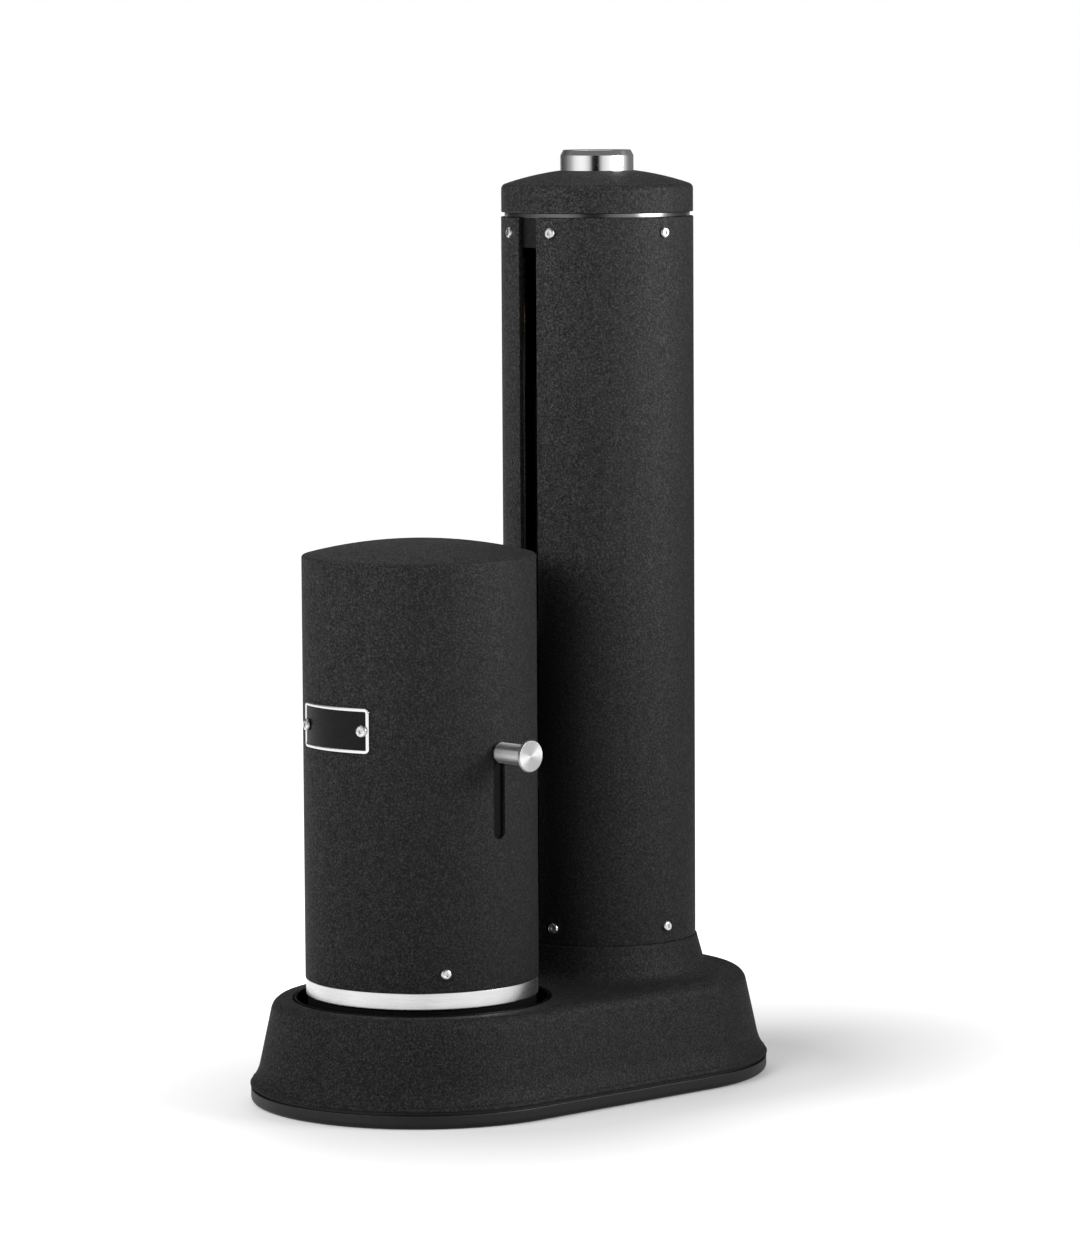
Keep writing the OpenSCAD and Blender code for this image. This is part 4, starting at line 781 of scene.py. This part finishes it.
turn_group, v, results = new_group("turning", ["Height", "Tone"])
xyz = add_node(turn_group, "ShaderNodeSeparateXYZ", Vector=v).outputs
ring_at = maths(turn_group, "MULTIPLY", length(turn_group, xyz["Y"], xyz["Z"]), ACROSS_SCALE)
rings = noise(turn_group, add_node(turn_group, "ShaderNodeCombineXYZ", X=ring_at).outputs[0], 1.0, 3.0, 0.6)
feed(turn_group, results.inputs["Height"], rings)
feed(turn_group, results.inputs["Tone"], spread(turn_group, rings, 0.3, 0.7))

GROUPS = {"grain": grain_group, "brush": brush_group, "turn": turn_group}
print("groups:", [group.name for group in GROUPS.values()])

# %% [markdown]
# ## One finish
# Every finish is a Principled shader whose colour, roughness and bump follow one of the groups. A turned face also
# stretches its highlight across the marks, which is what the tangent and the anisotropy are for.

# %% One finish
COAT_ROUGH = 0.08


def coordinates(tree, centre, turn):
    """Object coordinates from a centre, then rotated by a turn. Either may be None."""
    at = tree.nodes.new("ShaderNodeTexCoord").outputs["Object"]
    if centre:
        at = add_node(tree, "ShaderNodeMapping", Vector=at, Location=tuple(-q for q in centre)).outputs[0]
    if turn:
        at = add_node(tree, "ShaderNodeMapping", Vector=at, Rotation=turn).outputs[0]
    return at


def streaked(tree, surface, amount, across):
    """Stretches the highlight round the X axis."""
    tangent = tree.nodes.new("ShaderNodeTangent")
    tangent.direction_type, tangent.axis = "RADIAL", "X"
    feed(tree, surface.inputs["Tangent"], tangent.outputs[0])
    surface.inputs["Anisotropic"].default_value = amount
    surface.inputs["Anisotropic Rotation"].default_value = across


def material(name, dark, light, rough, metallic=0.0, kind="grain", bump=0.1, depth=0.04, coat=0.0, specular=0.5,
             painted_glint=0.0, centre=None, turn=None, streak=0.0, across=0.0):
    """A finish between two colours and two roughnesses. Depth is the height of its bumps, in millimetres."""
    made = bpy.data.materials.new(name)
    made.use_nodes = True
    tree = made.node_tree
    surface = tree.nodes["Principled BSDF"]
    if streak:
        streaked(tree, surface, streak, across)
    marks = tree.nodes.new("ShaderNodeGroup")
    marks.node_tree = GROUPS[kind]
    feed(tree, marks.inputs["Vector"], coordinates(tree, centre, turn))
    colour = mix_colour(tree, marks.outputs["Tone"], (*dark, 1), (*light, 1))
    # A painted glint: light grey added to the colour on the highest grains.
    if painted_glint:
        colour = mix_colour(tree, marks.outputs["Painted glint"], colour, (painted_glint, painted_glint, painted_glint, 1), "ADD")
    feed(tree, surface.inputs["Base Color"], colour)
    feed(tree, surface.inputs["Roughness"], spread(tree, marks.outputs["Tone"], 0, 1, rough[0], rough[1]))
    for label, value in (("Metallic", metallic), ("Specular IOR Level", specular), ("Coat Weight", coat),
                         ("Coat Roughness", COAT_ROUGH)):
        surface.inputs[label].default_value = value
    bumps = add_node(tree, "ShaderNodeBump", Strength=bump, Distance=depth * MM, Height=marks.outputs["Height"])
    feed(tree, surface.inputs["Normal"], bumps.outputs[0])
    return made


def grey(value):
    """A neutral colour."""
    return (value, value, value)


print("plain grey:", grey(0.5))

# %% [markdown]
# ## The finishes
# The body is black powder coat, and the base's foot band is a smoother black. The bright parts are polished or
# satin stainless steel. The pieces inside have the plain looks of brass, bronze, rubber and plastic.

# %% The finishes
MATS = {
    "black_powder_coat": material("powder coat", grey(0.004), grey(0.022), (0.75, 0.6), bump=0.8, depth=0.2,
                                  painted_glint=0.02, specular=0.25),
    "smooth_dark_band": material("satin band", grey(0.008), grey(0.014), (0.42, 0.34), bump=0.08, depth=0.05),
    "gloss_black_lip": material("gloss black", grey(0.003), grey(0.006), (0.3, 0.22), bump=0.05, depth=0.03,
                                specular=0.15),
    "polished_steel": material("polished steel", grey(0.87), grey(0.95), (0.17, 0.13), 1.0, "brush", bump=0.12,
                               depth=0.01),
    "screw_steel": material("screw steel", grey(0.6), grey(0.9), (0.34, 0.22), 1.0, bump=0.2, depth=0.03),
    "brushed_steel": material("satin steel", grey(0.74), grey(0.86), (0.34, 0.24), 1.0, "brush", bump=0.6,
                              depth=0.02),
    "cast_metal": material("black casting", grey(0.003), grey(0.007), (0.65, 0.55), bump=0.3, depth=0.1,
                           specular=0.2),
    "brass_fitting": material("brass", (0.62, 0.42, 0.16), (0.75, 0.52, 0.22), (0.32, 0.22), 1.0, bump=0.15,
                              depth=0.03),
    "bronze_bush": material("bronze", (0.45, 0.27, 0.12), (0.58, 0.36, 0.18), (0.38, 0.28), 1.0, bump=0.15,
                            depth=0.03),
    "black_rubber": material("rubber", grey(0.003), grey(0.006), (0.8, 0.7), bump=0.2, depth=0.05, specular=0.1),
    "hose_plastic": material("hose", grey(0.02), grey(0.03), (0.45, 0.35)),
    "pale_plastic": material("pale plastic", grey(0.55), grey(0.62), (0.5, 0.4)),
    "dark_plastic": material("dark plastic", grey(0.003), grey(0.005), (0.7, 0.6), specular=0.1),
    "cylinder_paint": material("dark enamel", grey(0.02), grey(0.03), (0.4, 0.3), bump=0.12, depth=0.05, coat=0.2),
}
print("materials:", len(MATS))

# %% [markdown]
# Three bright pieces have a finish of their own. The disc's face was turned in a lathe, and the rod was polished
# along its length. The ring in the cap's gap is steel painted dark, as painted shade for the gap that it lies in.

# %% Finishes of single pieces
SHELL_AXIS = (0, SHELL_Y * MM, lever_z * MM)
OWN = {
    "lever_disc": material("turned steel", grey(0.42), grey(0.6), (0.4, 0.3), 1.0, "turn", bump=0.3, depth=0.02,
                           centre=SHELL_AXIS, streak=0.75),
    "lever_rod": material("turned rod", grey(0.8), grey(0.92), (0.42, 0.34), 1.0, "brush", bump=0.3, depth=0.02,
                          turn=(0, math.pi / 2, 0), streak=0.9, across=0.25),
    # Painted shade: polished steel given a dark colour for the shaded gap under the cap.
    "cap_gap_ring": material("steel with painted shade", grey(0.12), grey(0.2), (0.26, 0.2), 1.0, "brush", bump=0.12,
                             depth=0.02),
}
print("own finishes:", sorted(OWN))

# %% [markdown]
# Every CAD node that still shows, and every piece, takes the finish of its slot.

# %% Give every piece its finish
slot_of = {part["node"]: part["material_slot"] for part in frame["record"]["subparts"]}
for name, obj in nodes.items():
    obj.data.materials.clear()
    obj.data.materials.append(MATS[slot_of[name]])
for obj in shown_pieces():
    if obj.name not in nodes:
        obj.data.materials.append(OWN.get(obj.name, MATS[obj["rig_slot"]]))

# %% [markdown]
# ## Floor
# The object stands on white paper that fades into a white background. The paper glows, and least near the foot:
# that dimmer glow is a painted shadow in the foot's shape, set off a little to one side, and the lamps' soft shadow
# shows in it too. With the foot's own shape, the distance is sqrt(x^2 + max(|y| - half, 0)^2).

# %% Floor
FLOOR_R, FLOOR_TURNS = 12, 128
FLOOR_ROUGH, FLOOR_SPECULAR = 0.9, 0.2
PAINTED_SHADOW_X, PAINTED_SHADOW_Y, PAINTED_SHADOW_HALF = 0.026, 0.025, 0.0525
PAINTED_SHADOW_FROM, PAINTED_SHADOW_TO, PAINTED_SHADOW_GLOW = 0.0765, 0.31, 0.14
PALE_SEEN, PALE_LEAST = 0.5, 0.2

t = np.linspace(0, 2 * math.pi, FLOOR_TURNS + 1)[:-1]
floor_mesh = bpy.data.meshes.new("floor")
floor_mesh.from_pydata(np.stack([FLOOR_R * np.cos(t), FLOOR_R * np.sin(t), 0 * t], -1).tolist(), [],
                       [list(range(FLOOR_TURNS))])
floor = bpy.data.objects.new("floor", floor_mesh)
scene.collection.objects.link(floor)

paper = bpy.data.materials.new("floor")
paper.use_nodes = True
tree = paper.node_tree
surface = tree.nodes["Principled BSDF"]
surface.inputs["Roughness"].default_value = FLOOR_ROUGH
surface.inputs["Specular IOR Level"].default_value = FLOOR_SPECULAR
surface.inputs["Emission Color"].default_value = (1, 1, 1, 1)
at = add_node(tree, "ShaderNodeSeparateXYZ", Vector=tree.nodes.new("ShaderNodeTexCoord").outputs["Object"]).outputs
from_middle = maths(tree, "ABSOLUTE", maths(tree, "SUBTRACT", at["Y"], PAINTED_SHADOW_Y))
past_end = maths(tree, "MAXIMUM", maths(tree, "SUBTRACT", from_middle, PAINTED_SHADOW_HALF), 0.0)
far = length(tree, maths(tree, "SUBTRACT", at["X"], PAINTED_SHADOW_X), past_end)
ray = tree.nodes.new("ShaderNodeLightPath").outputs
is_seen = maths(tree, "MAXIMUM", ray["Is Camera Ray"], ray["Is Glossy Ray"])
# Painted shadow: the glow is dimmest near the foot's outline and grows to full white away from it.
glow = maths(tree, "MULTIPLY", spread(tree, far, PAINTED_SHADOW_FROM, PAINTED_SHADOW_TO, PAINTED_SHADOW_GLOW, 1.0), is_seen)
feed(tree, surface.inputs["Emission Strength"], glow)
feed(tree, surface.inputs["Base Color"], maths(tree, "MULTIPLY_ADD", ray["Is Camera Ray"], PALE_SEEN, PALE_LEAST))
floor_mesh.materials.append(paper)
print("floor:", 2 * FLOOR_R, "m across")

# %% [markdown]
# ## World and lamps
# The background is white to the camera and dim to everything else, as in a studio with black walls. The lamps are
# soft boxes. Most are hidden from reflections, because their square shapes would show in the polished button.

# %% World
WORLD_GLOSS, WORLD_LEAST = 0.1, 0.05
world = bpy.data.worlds.new("studio")
scene.world = world
world.use_nodes = True
sky = world.node_tree
backdrop = sky.nodes["Background"]
backdrop.inputs["Color"].default_value = (1, 1, 1, 1)
ray = sky.nodes.new("ShaderNodeLightPath").outputs
dim = maths(sky, "MULTIPLY_ADD", ray["Is Glossy Ray"], WORLD_GLOSS, WORLD_LEAST)
feed(sky, backdrop.inputs["Strength"], maths(sky, "MAXIMUM", ray["Is Camera Ray"], dim))
print("world:", world.name)

# %% Lamps
CAM_AZ = 47.5


def around(azimuth, distance, height):
    """A point seen from the middle of the object at an azimuth measured from the front, in degrees."""
    a = math.radians(azimuth)
    return Vector((math.sin(a) * distance, -math.cos(a) * distance, height))


def lamp(name, azimuth, distance, height, size, watts, aim, beam=180, shows=False):
    """A soft rectangular lamp aimed at a height on the object's axis. The beam is its angle, in degrees."""
    data = bpy.data.lights.new(name, "AREA")
    data.shape, data.size, data.size_y = "RECTANGLE", size[0], size[1]
    data.energy = watts
    data.spread = math.radians(beam)
    obj = bpy.data.objects.new(name, data)
    scene.collection.objects.link(obj)
    obj.location = around(azimuth, distance, height)
    obj.rotation_mode = "QUATERNION"
    obj.rotation_quaternion = (obj.location - Vector((0, 0, aim))).to_track_quat("Z", "Y")
    obj.visible_camera = False
    obj.visible_glossy = shows
    print("lamp", name, watts, "W")


lamp("left_softbox", CAM_AZ - 50, 0.65, 0.55, (0.8, 0.45), 3.8, aim=0.5, beam=110)
lamp("right_softbox", CAM_AZ + 72, 0.7, 0.5, (0.4, 0.4), 2.4, aim=0.45, beam=120, shows=True)
lamp("key_softbox", CAM_AZ - 50, 0.8, 1.3, (0.6, 0.6), 4.6, aim=0.1)
lamp("back_softbox", CAM_AZ + 180, 0.75, 0.5, (0.7, 0.4), 3.6, aim=0.5, beam=80)
lamp("rear_softbox", CAM_AZ - 160, 0.4, 1.5, (1.2, 1.0), 3.5, aim=0.0, shows=True)

# %% [markdown]
# ## Reflection cards
# Polished metal shows what stands round it. A curved card with a soft gradient gives it long highlights with dark
# strips between them, and a black card behind keeps the far side dark. Only reflections see them.

# %% Reflection cards
CARD_ROWS = 31


def card_glow(tree, surface, from_deg, to_deg, glow):
    """Light that changes with the azimuth atan2(x, -y): a list of (azimuth, strength), straight between them."""
    xyz = add_node(tree, "ShaderNodeSeparateXYZ", Vector=tree.nodes.new("ShaderNodeTexCoord").outputs["Object"])
    azimuth_at = maths(tree, "ARCTAN2", xyz.outputs["X"], maths(tree, "MULTIPLY", xyz.outputs["Y"], -1.0))
    share = spread(tree, azimuth_at, math.radians(from_deg), math.radians(to_deg))
    ramp = add_node(tree, "ShaderNodeValToRGB", Fac=share)
    stops = ramp.color_ramp.elements
    while len(stops) < len(glow):
        stops.new(1.0)
    while len(stops) > len(glow):
        stops.remove(stops[-1])
    for stop, (azimuth, strength) in zip(stops, glow):
        stop.position = (azimuth - from_deg) / (to_deg - from_deg)
        stop.color = (strength, strength, strength, 1)
    feed(tree, surface.inputs["Emission Color"], ramp.outputs[0])
    surface.inputs["Emission Strength"].default_value = 1.0


def card(name, from_deg, to_deg, distance, low, high, glow=((0, 0.0),)):
    """A curved card, from one azimuth to another about the camera's, that shows only in reflections."""
    points = [tuple(around(azimuth, distance, z)) for azimuth in np.linspace(from_deg, to_deg, CARD_ROWS)
              for z in (low, high)]
    mesh = bpy.data.meshes.new(name)
    mesh.from_pydata(points, [], [(2 * k, 2 * k + 2, 2 * k + 3, 2 * k + 1) for k in range(CARD_ROWS - 1)])
    obj = bpy.data.objects.new(name, mesh)
    scene.collection.objects.link(obj)
    obj.rotation_euler.z = math.radians(CAM_AZ)
    made = bpy.data.materials.new(name)
    made.use_nodes = True
    surface = made.node_tree.nodes["Principled BSDF"]
    surface.inputs["Base Color"].default_value = (0, 0, 0, 1)
    surface.inputs["Specular IOR Level"].default_value = 0
    card_glow(made.node_tree, surface, from_deg, to_deg, glow)
    mesh.materials.append(made)
    obj.visible_camera = False
    obj.visible_shadow = False
    obj.visible_diffuse = False
    print("card", name, "from", from_deg, "to", to_deg)


card("reflector", -150, 150, 2.0, 0.0, 1.7,
     [(-150, 0.05), (-118, 0.13), (-92, 0.4), (-74, 0.85), (-55, 1.0), (-38, 0.95), (-24, 0.6), (-15, 0.05),
      (-12, 0.0), (6, 0.0), (10, 0.35), (20, 0.75), (40, 1.0), (75, 1.0), (95, 0.65), (112, 0.25), (130, 0.15),
      (150, 0.2)])
card("rear_flag", 105, 175, 0.6, 0.0, 0.3)

# %% [markdown]
# ## Camera
# A long lens stands a little above the object and to its front right. The view is tilted down, and turned and
# rolled by a third of a degree, as a camera that was set up by hand.

# %% Camera
CAM_DISTANCE, CAM_HEIGHT, LENS, SENSOR = 2.402, 0.44419, 155.81, 36
azimuth, pitch, yaw, roll = (math.radians(q) for q in (CAM_AZ, 5.74, 0.32, -0.33))
up = Vector((0, 0, 1))
outward = Vector((math.sin(azimuth), -math.cos(azimuth), 0))
sideways = Vector((math.cos(azimuth), math.sin(azimuth), 0))
forward = -outward * math.cos(yaw) + sideways * math.sin(yaw)
right = sideways * math.cos(yaw) + outward * math.sin(yaw)
look = forward * math.cos(pitch) - up * math.sin(pitch)
top = up * math.cos(pitch) + forward * math.sin(pitch)
cam_x = right * math.cos(roll) + top * math.sin(roll)
cam_y = top * math.cos(roll) - right * math.sin(roll)
camera = bpy.data.objects.new("camera", bpy.data.cameras.new("camera"))
scene.collection.objects.link(camera)
place = Matrix((cam_x, cam_y, -look)).transposed().to_4x4()
place.translation = outward * CAM_DISTANCE + up * CAM_HEIGHT
camera.matrix_world = place
camera.data.lens = LENS
camera.data.sensor_width = SENSOR
camera.data.clip_start, camera.data.clip_end = 0.1, 60
scene.camera = camera
scene.view_settings.view_transform = "Standard"
print("camera at", [round(q, 3) for q in camera.matrix_world.translation])
